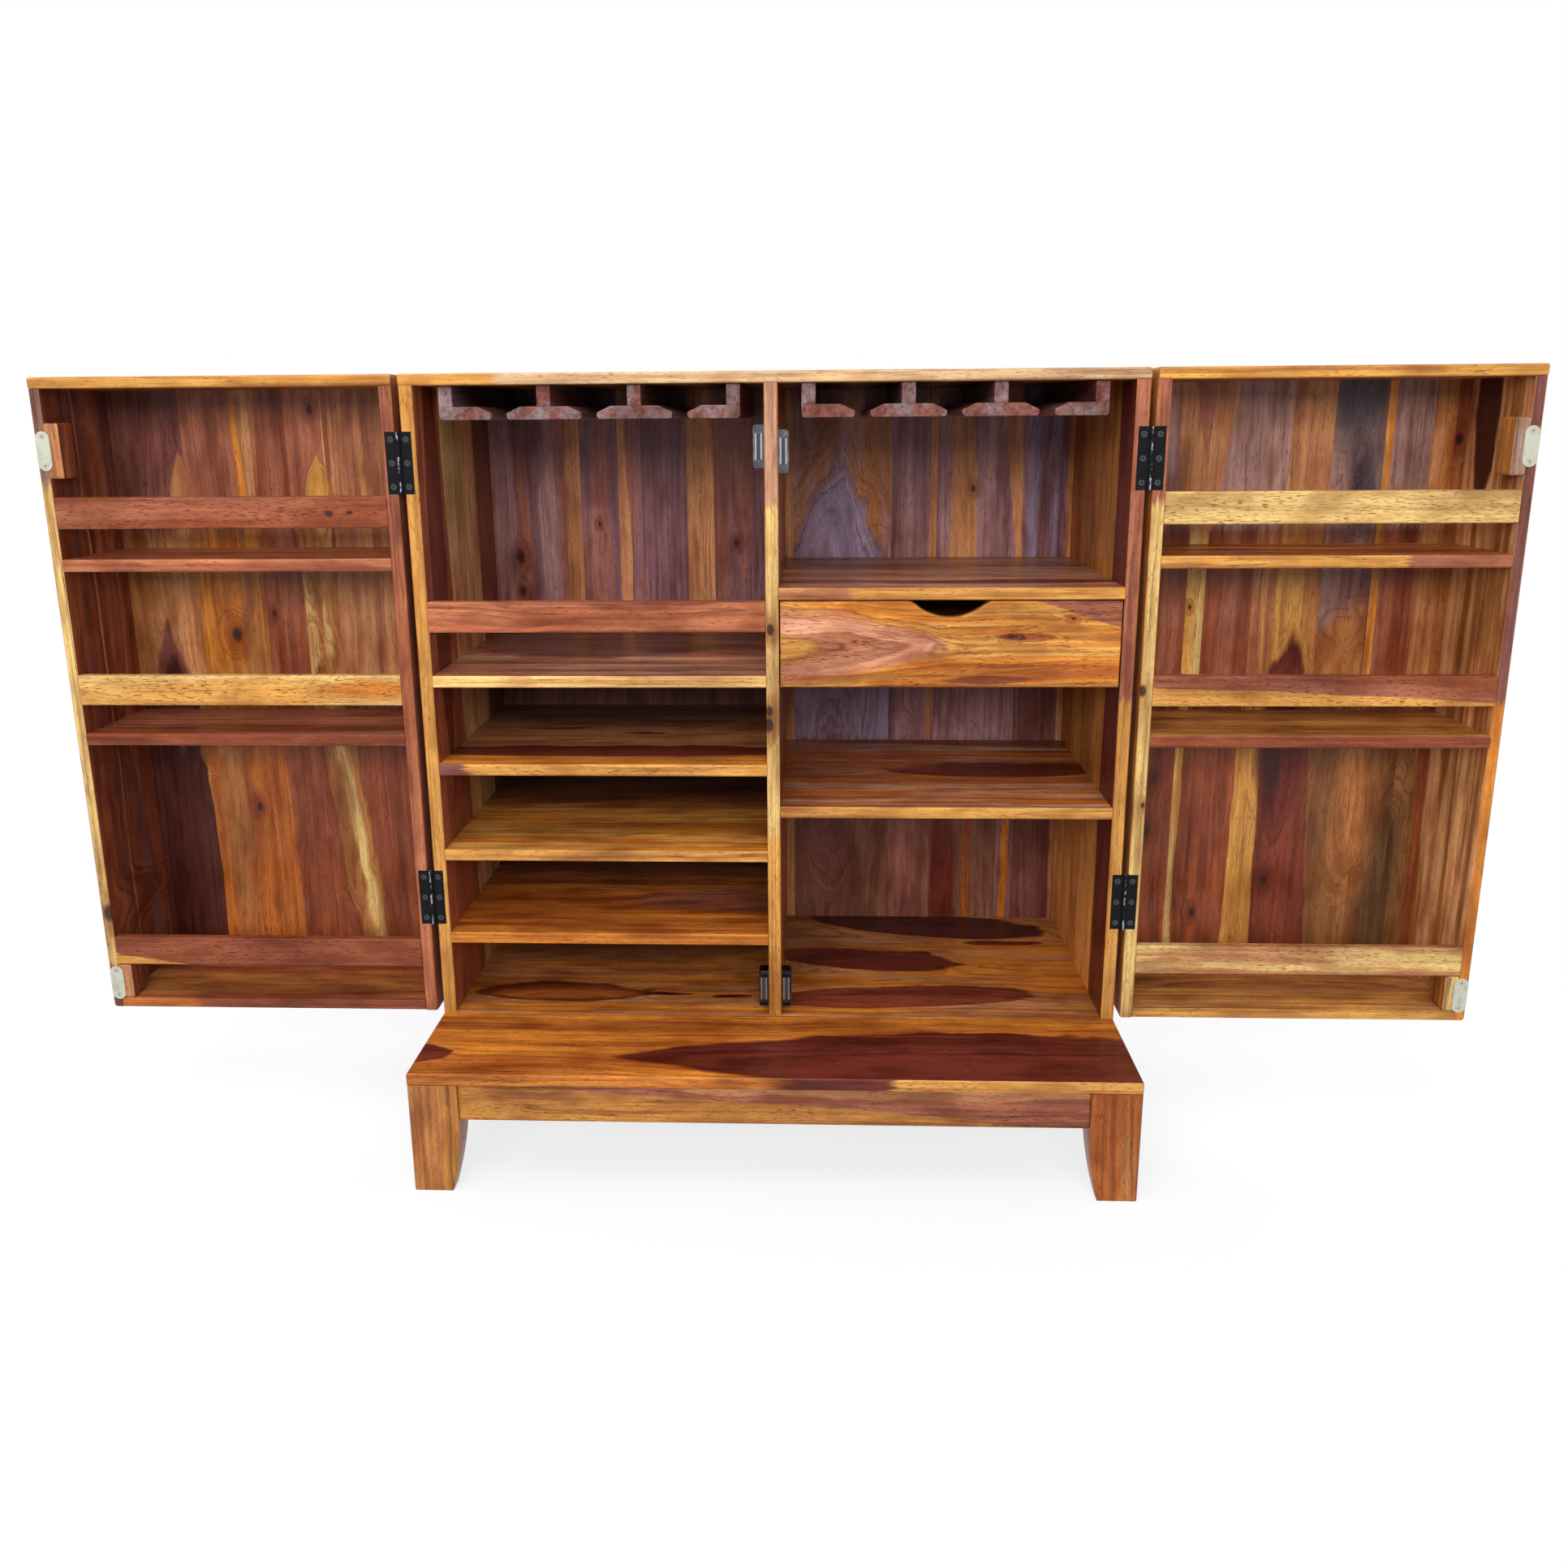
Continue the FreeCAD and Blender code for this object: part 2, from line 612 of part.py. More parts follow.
def strike_plate(side, z):
    """Round ended steel plate on the door's edge, where the magnet grips."""
    x = plate_middle_x(side)
    half_w = PLATE_W / 2
    straight = PLATE_H / 2 - half_w
    plate = block((x - half_w, x + half_w), (FRONT - PLATE_T, FRONT), (z - straight, z + straight))
    for end in (z - straight, z + straight):
        at = FreeCAD.Vector(x, FRONT - PLATE_T, end)
        plate = plate.fuse(Part.makeCylinder(half_w, PLATE_T, at, Y_AXIS))
    plate = plate.removeSplitter()
    holes = [p for p in plate_screw_points(side) if abs(p.z - z) < PLATE_H / 2]
    return cut_all(plate, [wood_screw(p, Y_AXIS, SCREW_FIT) for p in holes])


def knob_place(side):
    """Point on the outer face of a door, near its free edge at half height."""
    x = side * (DOOR_FAR - KNOB_FROM_EDGE)
    return FreeCAD.Vector(x, DOOR_OUTER, (DOOR_BOTTOM_Z + TOP_Z) / 2)


def knob(side):
    """Square knob: a tenon in the panel, a narrow neck and a head with a bevelled face."""
    at = knob_place(side)

    def square(width, start, stop):
        half = width / 2
        return block((at.x - half, at.x + half), (at.y + start, at.y + stop), (at.z - half, at.z + half))
    head = square(KNOB_W, KNOB_NECK_L, KNOB_H)
    tip = at.y + KNOB_H
    head = ease(head, KNOB_BEVEL, lambda middle, direction: abs(middle.y - tip) < TOL)
    neck = square(KNOB_NECK_W, 0, KNOB_NECK_L)
    return head.fuse([neck, square(KNOB_TENON_W, -KNOB_TENON_L, 0)]).removeSplitter()


def knob_mortise(side):
    at = knob_place(side)
    half = KNOB_TENON_W / 2 + KNOB_FIT
    deep = at.y - KNOB_TENON_L - KNOB_FIT
    return block((at.x - half, at.x + half), (deep, at.y + OVERCUT), (at.z - half, at.z + half))


def door_rails(x):
    """Bottle rails above the two shelves and above the bottom."""
    feet = [z + SHELF_T + RAIL_LIFT for z in DOOR_SHELF_Z] + [DOOR_FLOOR_Z + BOTTOM_RAIL_LIFT]
    rails = [block(x, (FRONT, FRONT + RAIL_T), (z, z + RAIL_H)) for z in feet]
    return [ease_front(rail, X_AXIS) for rail in rails]


def catch_blocks(side, inner_far, screw_holes):
    """Blocks that widen the free side behind the two strike plates."""
    upper, _ = catch_heights(side)
    heights = ((upper - BLOCK_H / 2, upper + BLOCK_H / 2), (DOOR_FLOOR_Z, DOOR_FLOOR_Z + BOTTOM_RAIL_LIFT))
    inner = inner_far - side * BLOCK_W
    solids = []
    for height in heights:
        solid = block((inner_far, inner), (FRONT, FRONT + BLOCK_DEPTH), height)

        def back_corner(middle, direction):
            upright = abs(direction.z) > 1 - TOL
            return upright and abs(middle.x - inner) < TOL and middle.y > FRONT + TOL
        solids.append(cut_all(ease(solid, BLOCK_BEVEL, back_corner), screw_holes))
    return solids


def make_door(side, name):
    near = side * DOOR_NEAR
    far = side * DOOR_FAR
    inner_near = near + side * DOOR_SIDE_T
    inner_far = far - side * DOOR_FREE_T
    inside = (inner_near, inner_far)
    box_y = (FRONT, DOOR_PANEL_FACE)
    upright = (DOOR_BOTTOM_Z, DOOR_CEILING_Z)
    plate_holes = [wood_screw(p, Y_AXIS, SCREW_FIT) for p in plate_screw_points(side)]

    panel = block((near, far), (DOOR_PANEL_FACE, DOOR_OUTER), (DOOR_BOTTOM_Z, TOP_Z))
    panel = ease(panel, EASE, lambda middle, direction: abs(middle.y - DOOR_OUTER) < TOL)
    add(f"{name}_door_panel", panel.cut(knob_mortise(side)))
    add(f"{name}_door_knob", knob(side))

    top = block((near, far), box_y, (DOOR_CEILING_Z, TOP_Z))
    add(f"{name}_door_top", ease_front(top, X_AXIS))
    add(f"{name}_door_bottom", ease_front(block(inside, box_y, (DOOR_BOTTOM_Z, DOOR_FLOOR_Z)), X_AXIS))

    hinge_side = ease_front(block((near, inner_near), box_y, upright), Z_AXIS)
    add(f"{name}_door_hinge_side", cut_all(hinge_side, hinge_cuts(side, side)))

    def foot_corner(middle, direction):
        on_foot = abs(middle.z - DOOR_BOTTOM_Z) < TOL
        return on_foot and abs(middle.x - far) < TOL and abs(direction.y) > 1 - TOL
    free_side = fillet(block((far, inner_far), box_y, upright), DOOR_CORNER, foot_corner)
    add(f"{name}_door_free_side", cut_all(ease_front(free_side, Z_AXIS), plate_holes))

    for z, place in zip(DOOR_SHELF_Z, ("lower", "upper")):
        board = block(inside, box_y, (z, z + SHELF_T))
        add(f"{name}_door_{place}_shelf", ease_front(board, X_AXIS))
    add(f"{name}_door_bottle_rails", *door_rails(inside))
    add(f"{name}_door_catch_blocks", *catch_blocks(side, inner_far, plate_holes))
    add(f"{name}_door_strike_plates", *[strike_plate(side, z) for z in catch_heights(side)])

    heads = hinge_screw_points(side, side) + plate_screw_points(side)
    add(f"{name}_door_screws", *[wood_screw(p, Y_AXIS) for p in heads])


def make_cabinet_screws():
    hinge = [wood_screw(p, Y_AXIS) for s in (LEFT, RIGHT) for p in hinge_screw_points(s, -s)]
    catch = [lug_screw(p, X_AXIS * -s)
             for s in (LEFT, RIGHT) for z in catch_heights(s) for p in lug_screw_points(s, z)]
    add("cabinet_screws", *hinge, *catch)


make_base()
make_carcass()
make_columns()
make_drawer()
make_hinges()
make_catches()
make_door(LEFT, "left")
make_door(RIGHT, "right")
make_cabinet_screws()

os.makedirs("parts", exist_ok=True)
for name, solids in parts.items():
    shape = solids[0] if len(solids) == 1 else Part.makeCompound(solids)
    shape.exportStep(f"parts/{name}.step")
print(len(parts), "nodes,", sum(len(s) for s in parts.values()), "solids")
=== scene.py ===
import math
from collections import namedtuple

import bmesh
import bpy
from mathutils import Matrix, Vector


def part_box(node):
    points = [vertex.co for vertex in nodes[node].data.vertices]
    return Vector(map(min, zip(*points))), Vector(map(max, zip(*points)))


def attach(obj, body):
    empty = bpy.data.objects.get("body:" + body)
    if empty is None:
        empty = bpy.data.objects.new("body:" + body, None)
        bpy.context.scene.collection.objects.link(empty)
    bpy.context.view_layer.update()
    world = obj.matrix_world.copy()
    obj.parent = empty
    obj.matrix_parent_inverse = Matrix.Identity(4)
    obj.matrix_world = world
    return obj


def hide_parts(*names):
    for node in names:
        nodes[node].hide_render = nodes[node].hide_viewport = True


# Bar cabinet in lacquered sheesham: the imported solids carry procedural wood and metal, and the
# screws are modelled in full. Metres, in the part's own frame: +X right, +Y back, +Z up.

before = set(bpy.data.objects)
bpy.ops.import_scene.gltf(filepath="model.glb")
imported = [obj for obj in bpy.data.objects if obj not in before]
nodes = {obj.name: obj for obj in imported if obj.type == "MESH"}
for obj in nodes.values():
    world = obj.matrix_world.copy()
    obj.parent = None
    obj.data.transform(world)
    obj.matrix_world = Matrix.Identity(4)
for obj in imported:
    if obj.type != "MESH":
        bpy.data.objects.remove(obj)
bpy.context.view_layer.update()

# Photo framing, with the photo's side in pixels
PHOTO_SIDE = 1932
FOCAL_PX = 1474.1
CENTRE_PX = (953.0, 849.4)
CAMERA_AT = Vector((0.0575, -1.5873, 0.9599))
CAMERA_YAW = -0.0379
CAMERA_PITCH = -0.2231
CAMERA_ROLL = -0.0078
SENSOR = 0.036

# Wood tones, as linear colours
CREAM = (0.62, 0.42, 0.225)
PALE = (0.68, 0.47, 0.170)
GOLD = (0.62, 0.315, 0.072)
HONEY = (0.57, 0.205, 0.028)
AMBER = (0.42, 0.122, 0.022)
OLIVE = (0.40, 0.160, 0.046)
TAN = (0.47, 0.215, 0.090)
PINK = (0.68, 0.340, 0.200)
MAUVE = (0.34, 0.122, 0.066)
RUST = (0.26, 0.070, 0.028)
# Slate is a painted bluish sheen on the back panel in the right-hand bays
SLATE_PAINTED_SHEEN = (0.31, 0.232, 0.330)
PLUM = (0.20, 0.076, 0.060)
HEART = (0.145, 0.028, 0.017)
UMBER = (0.070, 0.018, 0.014)

# Sizes of the figure in the wood, along the grain and across it, in millimetres
WANDER_SPAN = (420, 150)
WANDER = 14
RIPPLE_SPAN = (130, 40)
RIPPLE = 10
TINT_SPAN = (460, 26)
CLOUD_SPAN = (75, 24)
DRIFT_SPAN = (210, 64)
STREAK_SPAN = (480, 7)
VEIN_SPAN = (800, 24)
FIBRE_SPAN = (80, 1.8)
PORE_SPAN = (10, 1.2)
FRAY = 5
SWAY_ALONG = 50
SWAY_ACROSS = 14
SKIN = (0.7, 1.2)
NARROW_FACE = (1.5, 4.0)
PLANK_JUMP = 9000.0
BOARD_JUMP = 731.0
OUTLINE_SWAY = 0.25

# Tints that the figure multiplies the wood by, and the black of a knot
RIM_TINT = (0.45, 0.30, 0.24)
HALO_TINT = (0.55, 0.34, 0.25)
DRIFT_DARK = (0.56, 0.44, 0.40)
DRIFT_LIGHT = (1.30, 1.30, 1.26)
CLOUD_TINT = (0.60, 0.47, 0.41)
STREAK_DARK = (0.48, 0.31, 0.25)
STREAK_LIGHT = (1.36, 1.27, 1.10)
VEIN_TINT = (0.36, 0.21, 0.16)
FIBRE_TINT = (0.72, 0.60, 0.52)
PORE_TINT = (0.42, 0.24, 0.15)
KNOT_BLACK = (0.026, 0.009, 0.007)

# Lacquer
WOOD_SPECULAR = 0.2
COAT = 0.08
COAT_ROUGHNESS = 0.14
GRAIN_BUMP = 0.25
GRAIN_DEPTH = 0.0004

# Softened edges of boards and of metal
WOOD_BEVEL = 0.0009
BLOCK_BEVEL = 0.0025
METAL_BEVEL = 0.0004
WELD = 0.00001

# Marks on a board, in millimetres from the board's lowest corner, along the grain and across it.
# The rings of the wood run round an oval and a pointed flame, a strip lies between two lines that
# may slope, and clip limits a mark across the board with the crisp edge of a glue line.
Shape = namedtuple("Shape", "along across length width tone tilt pointed clip soft")
Strip = namedtuple("Strip", "low high tone span clip")
Knot = namedtuple("Knot", "along across radius through")
Board = namedtuple("Board", "grain across tone tint marks planks pores figure outer")


def oval(along, across, length, width, tone, tilt=0.0, clip=None, soft=0.05):
    return Shape(along, across, length, width, tone, tilt, False, clip, soft)


def flame(along, across, length, width, tone, tilt=0.0, clip=None, soft=0.05):
    return Shape(along, across, length, width, tone, tilt, True, clip, soft)


def knot(along, across, radius):
    return Knot(along, across, radius, None)


def eye(along, through, radius):
    """A knot on the narrow face of a board, placed through its thickness."""
    return Knot(along, None, radius, through)


def strip(low, high, tone, span=None, clip=None):
    """Low and high are places across the board, or pairs of them at the two ends of the span."""
    return Strip(low, high, tone, span, clip)


def edge(tone, span=None):
    """The narrow face at the low side of a board."""
    return Strip(-9, 9, tone, span, (-9, 1.3))


def board(grain, across, tone, tint, *marks, planks=(), pores=1.0, figure=0.75, outer=()):
    """Outer gives the tones, in turn, of the planks on a panel's outer face, which has no marks."""
    return Board(grain, across, tone, tint, marks, planks, pores, figure, outer)


class Value:
    """A number or colour in a material that takes part in sums; each step makes one node."""

    def __init__(self, tree, socket):
        self.tree = tree
        self.socket = socket

    def feed(self, target, value):
        if isinstance(value, Value):
            self.tree.links.new(value.socket, target)
        else:
            target.default_value = value

    def math(self, operation, *others):
        node = self.tree.nodes.new("ShaderNodeMath")
        node.operation = operation
        for target, value in zip(node.inputs, (self,) + others):
            self.feed(target, value)
        return Value(self.tree, node.outputs[0])

    def __add__(self, other):
        return self.math("ADD", other)

    def __sub__(self, other):
        return self.math("SUBTRACT", other)

    def __mul__(self, other):
        return self.math("MULTIPLY", other)

    def __truediv__(self, other):
        return self.math("DIVIDE", other)

    def hypot(self, other):
        return (self * self + other * other).math("SQRT")

    def rise(self, low, high):
        """Smooth step from 0 at low to 1 at high."""
        node = self.tree.nodes.new("ShaderNodeMapRange")
        node.interpolation_type = "SMOOTHSTEP"
        node.inputs["From Min"].default_value = low
        node.inputs["From Max"].default_value = high
        self.feed(node.inputs["Value"], self)
        return Value(self.tree, node.outputs["Result"])

    def fall(self, low, high):
        return self.rise(low, high) * -1.0 + 1.0

    def between(self, first, second, mode="MIX"):
        """Colour that goes from the first to the second as this share goes from 0 to 1."""
        node = self.tree.nodes.new("ShaderNodeMix")
        node.data_type = "RGBA"
        node.blend_type = mode
        ends = {socket.identifier: socket for socket in node.inputs}
        self.feed(ends["Factor_Float"], self)
        self.feed(ends["A_Color"], opaque(first))
        self.feed(ends["B_Color"], opaque(second))
        return Value(self.tree, next(s for s in node.outputs if s.identifier == "Result_Color"))

    def shade(self, colour, tint):
        """The colour multiplied by a tint as far as this share says."""
        return self.between(colour, tint, "MULTIPLY")


def opaque(colour):
    return colour if isinstance(colour, Value) else (*colour, 1.0)


def new_material(name):
    material = bpy.data.materials.new(name)
    material.use_nodes = True
    tree = material.node_tree
    return material, tree, tree.nodes["Principled BSDF"]


def position(tree):
    """Frame coordinates of the surface; they ride with the piece."""
    node = tree.nodes.new("ShaderNodeTexCoord")
    split = tree.nodes.new("ShaderNodeSeparateXYZ")
    tree.links.new(node.outputs["Object"], split.inputs[0])
    return {axis: Value(tree, split.outputs[i]) for i, axis in enumerate("XYZ")}


def noise(x, y, z, detail=2.0, roughness=0.5):
    tree = x.tree
    vector = tree.nodes.new("ShaderNodeCombineXYZ")
    for target, value in zip(vector.inputs, (x, y, z)):
        x.feed(target, value)
    node = tree.nodes.new("ShaderNodeTexNoise")
    node.inputs["Scale"].default_value = 1.0
    node.inputs["Detail"].default_value = detail
    node.inputs["Roughness"].default_value = roughness
    tree.links.new(vector.outputs[0], node.inputs["Vector"])
    return Value(tree, node.outputs["Fac"])


def steps(value, stops):
    """Colour that changes abruptly: stops are (end, colour) pairs over a value from 0 to 1."""
    node = value.tree.nodes.new("ShaderNodeValToRGB")
    node.color_ramp.interpolation = "CONSTANT"
    elements = node.color_ramp.elements
    elements[0].color = opaque(stops[0][1])
    elements[1].position = stops[0][0]
    elements[1].color = opaque(stops[1][1])
    for (start, _), (_, colour) in zip(stops[1:], stops[2:]):
        elements.new(start).color = opaque(colour)
    value.feed(node.inputs["Fac"], value)
    return Value(value.tree, node.outputs["Color"])


def level(ends, u, span):
    """A place across the board: fixed, or on a line between two ends of a span along it."""
    if isinstance(ends, (int, float)):
        return ends
    slope = (ends[1] - ends[0]) / (span[1] - span[0])
    return u * slope + (ends[0] - slope * span[0])


def strip_mask(mark, u, v, fray, length):
    span = mark.span or (0, length)
    low, high = level(mark.low, u, span), level(mark.high, u, span)
    mask = (v + fray - low).rise(-1.0, 1.0) * (v - fray - high).fall(-1.0, 1.0)
    if mark.span:
        mask = mask * (u + fray * 8 - span[0]).rise(-6, 6) * (u + fray * 8 - span[1]).fall(-6, 6)
    return mask


def shape_reach(mark, u, v):
    """0 in the middle of an oval or flame and 1 on its outline."""
    s = (u - mark.along) / mark.length
    t = (v - (u - mark.along) * mark.tilt - mark.across) / mark.width
    if mark.pointed:
        return (t * t + 0.004).math("SQRT") + s * s
    return s.hypot(t)


def within(mask, flat, clip):
    if clip is None:
        return mask
    return mask * flat.rise(clip[0] - 0.3, clip[0] + 0.3) * flat.fall(clip[1] - 0.3, clip[1] + 0.3)


def sheesham(name, spec, low, high, seed):
    """Lacquered sheesham: streaked boards with drifting figure, heartwood shapes, knots and pores; some marks
    and tones are painted shade, light or sheen.
    """
    material, tree, shader = new_material(name)
    place = position(tree)
    axes = [spec.grain, spec.across] + [a for a in "XYZ" if a not in (spec.grain, spec.across)]
    u, flat, through = ((place[a] - low["XYZ".index(a)]) * 1000.0 for a in axes)
    length, width, thick = ((high["XYZ".index(a)] - low["XYZ".index(a)]) * 1000.0 for a in axes)
    shift = seed * BOARD_JUMP
    run = u + shift
    if spec.planks:
        share = flat / width
        ends = [end / width for end, _, _ in spec.planks]
        run = run + steps(share, [(end, (i * 0.618 % 1.0,) * 3) for i, end in enumerate(ends)]) * PLANK_JUMP

    def grain_noise(span, v, detail=2.0, roughness=0.5):
        return noise(run / span[0], v / span[1], (through + shift) / span[1], detail, roughness)

    wander = (grain_noise(WANDER_SPAN, flat, 1.0) - 0.5) * WANDER
    ripple = (grain_noise(RIPPLE_SPAN, flat, 2.0) - 0.5) * RIPPLE
    bent = flat + wander + ripple
    fibre = grain_noise(FIBRE_SPAN, bent)
    fray = (fibre - 0.5) * FRAY

    tint_share = grain_noise(TINT_SPAN, bent, 3.0, 0.55).rise(0.42, 0.60)
    if spec.planks:
        colour = tint_share.between(steps(share, [(e, p[1]) for e, p in zip(ends, spec.planks)]),
                                    steps(share, [(e, p[2]) for e, p in zip(ends, spec.planks)]))
    else:
        colour = tint_share.between(spec.tone, spec.tint)
    if spec.outer and spec.planks:
        back = through.rise(0.45 * thick, 0.55 * thick)
        pairs = [spec.outer[i % len(spec.outer)] for i in range(len(ends))]
        plain = tint_share.between(steps(share, [(e, p[0]) for e, p in zip(ends, pairs)]),
                                   steps(share, [(e, p[1]) for e, p in zip(ends, pairs)]))
    elif spec.outer:
        back = through.fall(*SKIN) if low.x + high.x < 0 else through.rise(thick - SKIN[1], thick - SKIN[0])
        plain = tint_share.between(*spec.outer[0])

    cloud = grain_noise(CLOUD_SPAN, bent, 2.0)
    swayed_u = u + (cloud - 0.5) * SWAY_ALONG
    swayed_v = bent + (cloud - 0.5) * SWAY_ACROSS
    skin = flat.fall(*NARROW_FACE)
    line = bent
    dark = None
    for mark in spec.marks:
        if isinstance(mark, Strip):
            colour = within(strip_mask(mark, u, bent, fray, length), flat, mark.clip).between(colour, mark.tone)
        elif isinstance(mark, Shape):
            reach = shape_reach(mark, swayed_u, swayed_v) + (cloud - 0.5) * OUTLINE_SWAY
            frayed = reach + fray / mark.width
            near = within(reach.fall(0.7, 1.6) * (0.5 if mark.pointed else 0.3), flat, mark.clip)
            line = line + (reach * mark.width - line) * near
            filled = within(frayed.fall(1.0 - mark.soft, 1.0 + mark.soft), flat, mark.clip)
            colour = filled.between(colour, mark.tone)
            rim = frayed.rise(0.84, 1.0) * frayed.fall(1.0, 1.08) * (0.45 if mark.soft < 0.1 else 0.15)
            colour = within(rim, flat, mark.clip).shade(colour, RIM_TINT)
        else:
            aside = bent - mark.across if mark.through is None else through - mark.through
            reach = ((u - mark.along) * 0.6).hypot(aside) / mark.radius + (cloud - 0.5) * 0.8
            line = line + (reach * mark.radius - line) * (reach.fall(1.0, 3.6) * 0.6)
            halo = reach.fall(0.8, 3.8) * (0.75 if mark.through is None else skin * 0.6)
            colour = halo.shade(colour, HALO_TINT)
            spot = reach.fall(0.5, 1.2) if mark.through is None else reach.fall(0.5, 1.2) * skin
            dark = spot if dark is None else dark.math("MAXIMUM", spot)

    if spec.outer:
        colour = back.between(colour, plain)
        dark = dark * (back * -1.0 + 1.0) if dark else None
    streak = grain_noise(STREAK_SPAN, line, 2.0, 0.6)
    ridge = (grain_noise(VEIN_SPAN, line, 2.0) - 0.5).math("ABSOLUTE")
    patch = cloud.rise(0.40, 0.62)
    drift = grain_noise(DRIFT_SPAN, bent, 3.0, 0.6)
    pore = grain_noise(PORE_SPAN, bent, 1.0).rise(0.56, 0.68)
    colour = (drift.fall(0.34, 0.52) * 0.6).shade(colour, DRIFT_DARK)
    colour = (drift.rise(0.50, 0.68) * 0.7).shade(colour, DRIFT_LIGHT)
    colour = (cloud.fall(0.32, 0.56) * 0.75).shade(colour, CLOUD_TINT)
    colour = (streak.fall(0.34, 0.53) * (0.78 * spec.figure)).shade(colour, STREAK_DARK)
    colour = (streak.rise(0.50, 0.68) * (0.85 * spec.figure)).shade(colour, STREAK_LIGHT)
    colour = (ridge.fall(0.003, 0.028) * (patch * 0.6 + 0.25) * spec.figure).shade(colour, VEIN_TINT)
    colour = (fibre.fall(0.38, 0.58) * 0.35).shade(colour, FIBRE_TINT)
    colour = (pore * (patch * 0.4 + 0.25) * spec.pores).shade(colour, PORE_TINT)
    if dark is not None:
        colour = (dark * 0.93).between(colour, KNOT_BLACK)
    tree.links.new(colour.socket, shader.inputs["Base Color"])

    tree.links.new((fibre * 0.14 + pore * 0.12 + 0.28).socket, shader.inputs["Roughness"])
    shader.inputs["Specular IOR Level"].default_value = WOOD_SPECULAR
    shader.inputs["Coat Weight"].default_value = COAT
    shader.inputs["Coat Roughness"].default_value = COAT_ROUGHNESS
    bump = tree.nodes.new("ShaderNodeBump")
    bump.inputs["Strength"].default_value = GRAIN_BUMP
    bump.inputs["Distance"].default_value = GRAIN_DEPTH
    tree.links.new((fibre * 0.5 - pore).socket, bump.inputs["Height"])
    tree.links.new(bump.outputs["Normal"], shader.inputs["Normal"])
    return material


# Tones of single boards; some carry painted light, painted shade or a painted sheen, as noted
# The bay tones are lighter and bluer copies of wood tones: painted light and a painted bluish sheen on the back
# panel inside the bays
BAY_RUST_PAINTED_SHEEN = (0.32, 0.125, 0.095)
BAY_PLUM_PAINTED_SHEEN = (0.235, 0.112, 0.130)
BAY_BROWN_PAINTED_SHEEN = (0.36, 0.200, 0.205)
BAY_GOLD_PAINTED_SHEEN = (0.56, 0.260, 0.115)
RAIL_GREY = (0.215, 0.150, 0.155)
MIST = (0.34, 0.200, 0.170)
INK = (0.075, 0.052, 0.060)
MOSS = (0.25, 0.105, 0.034)
MIRE = (0.115, 0.062, 0.028)
STONE = (0.30, 0.190, 0.140)
EMBER = (0.43, 0.150, 0.070)
STRAW = (0.50, 0.225, 0.045)
# Painted light: gold brightened past the wood's own tone, for the inner faces of the left side and of the right
# door's free side
PAINTED_LIGHT_GOLD = (0.88, 0.470, 0.210)
DUSK = (0.42, 0.120, 0.056)
GARNET = (0.19, 0.042, 0.020)
ROSE = (0.47, 0.265, 0.165)
BLUSH = (0.54, 0.220, 0.110)
SUNLIT = (0.86, 0.560, 0.200)
BAY_UMBER_PAINTED_SHEEN = (0.235, 0.105, 0.066)
# Painted shade for the backs of the bottle bays, laid on the bottle shelves, the cabinet floor and the back
# panel
PAINTED_BAY_SHADE = (0.17, 0.070, 0.045)
# Painted light: brightens the lower part of the right side's inner face
PAINTED_LIGHT_ORANGE = (0.92, 0.430, 0.110)

# Pairs of tones for the planks on the outer faces of the panels
OUTSIDE = ((AMBER, HONEY), (RUST, AMBER), (GOLD, HONEY), (MAUVE, RUST), (AMBER, OLIVE),
           (HONEY, GOLD), (RUST, PLUM))

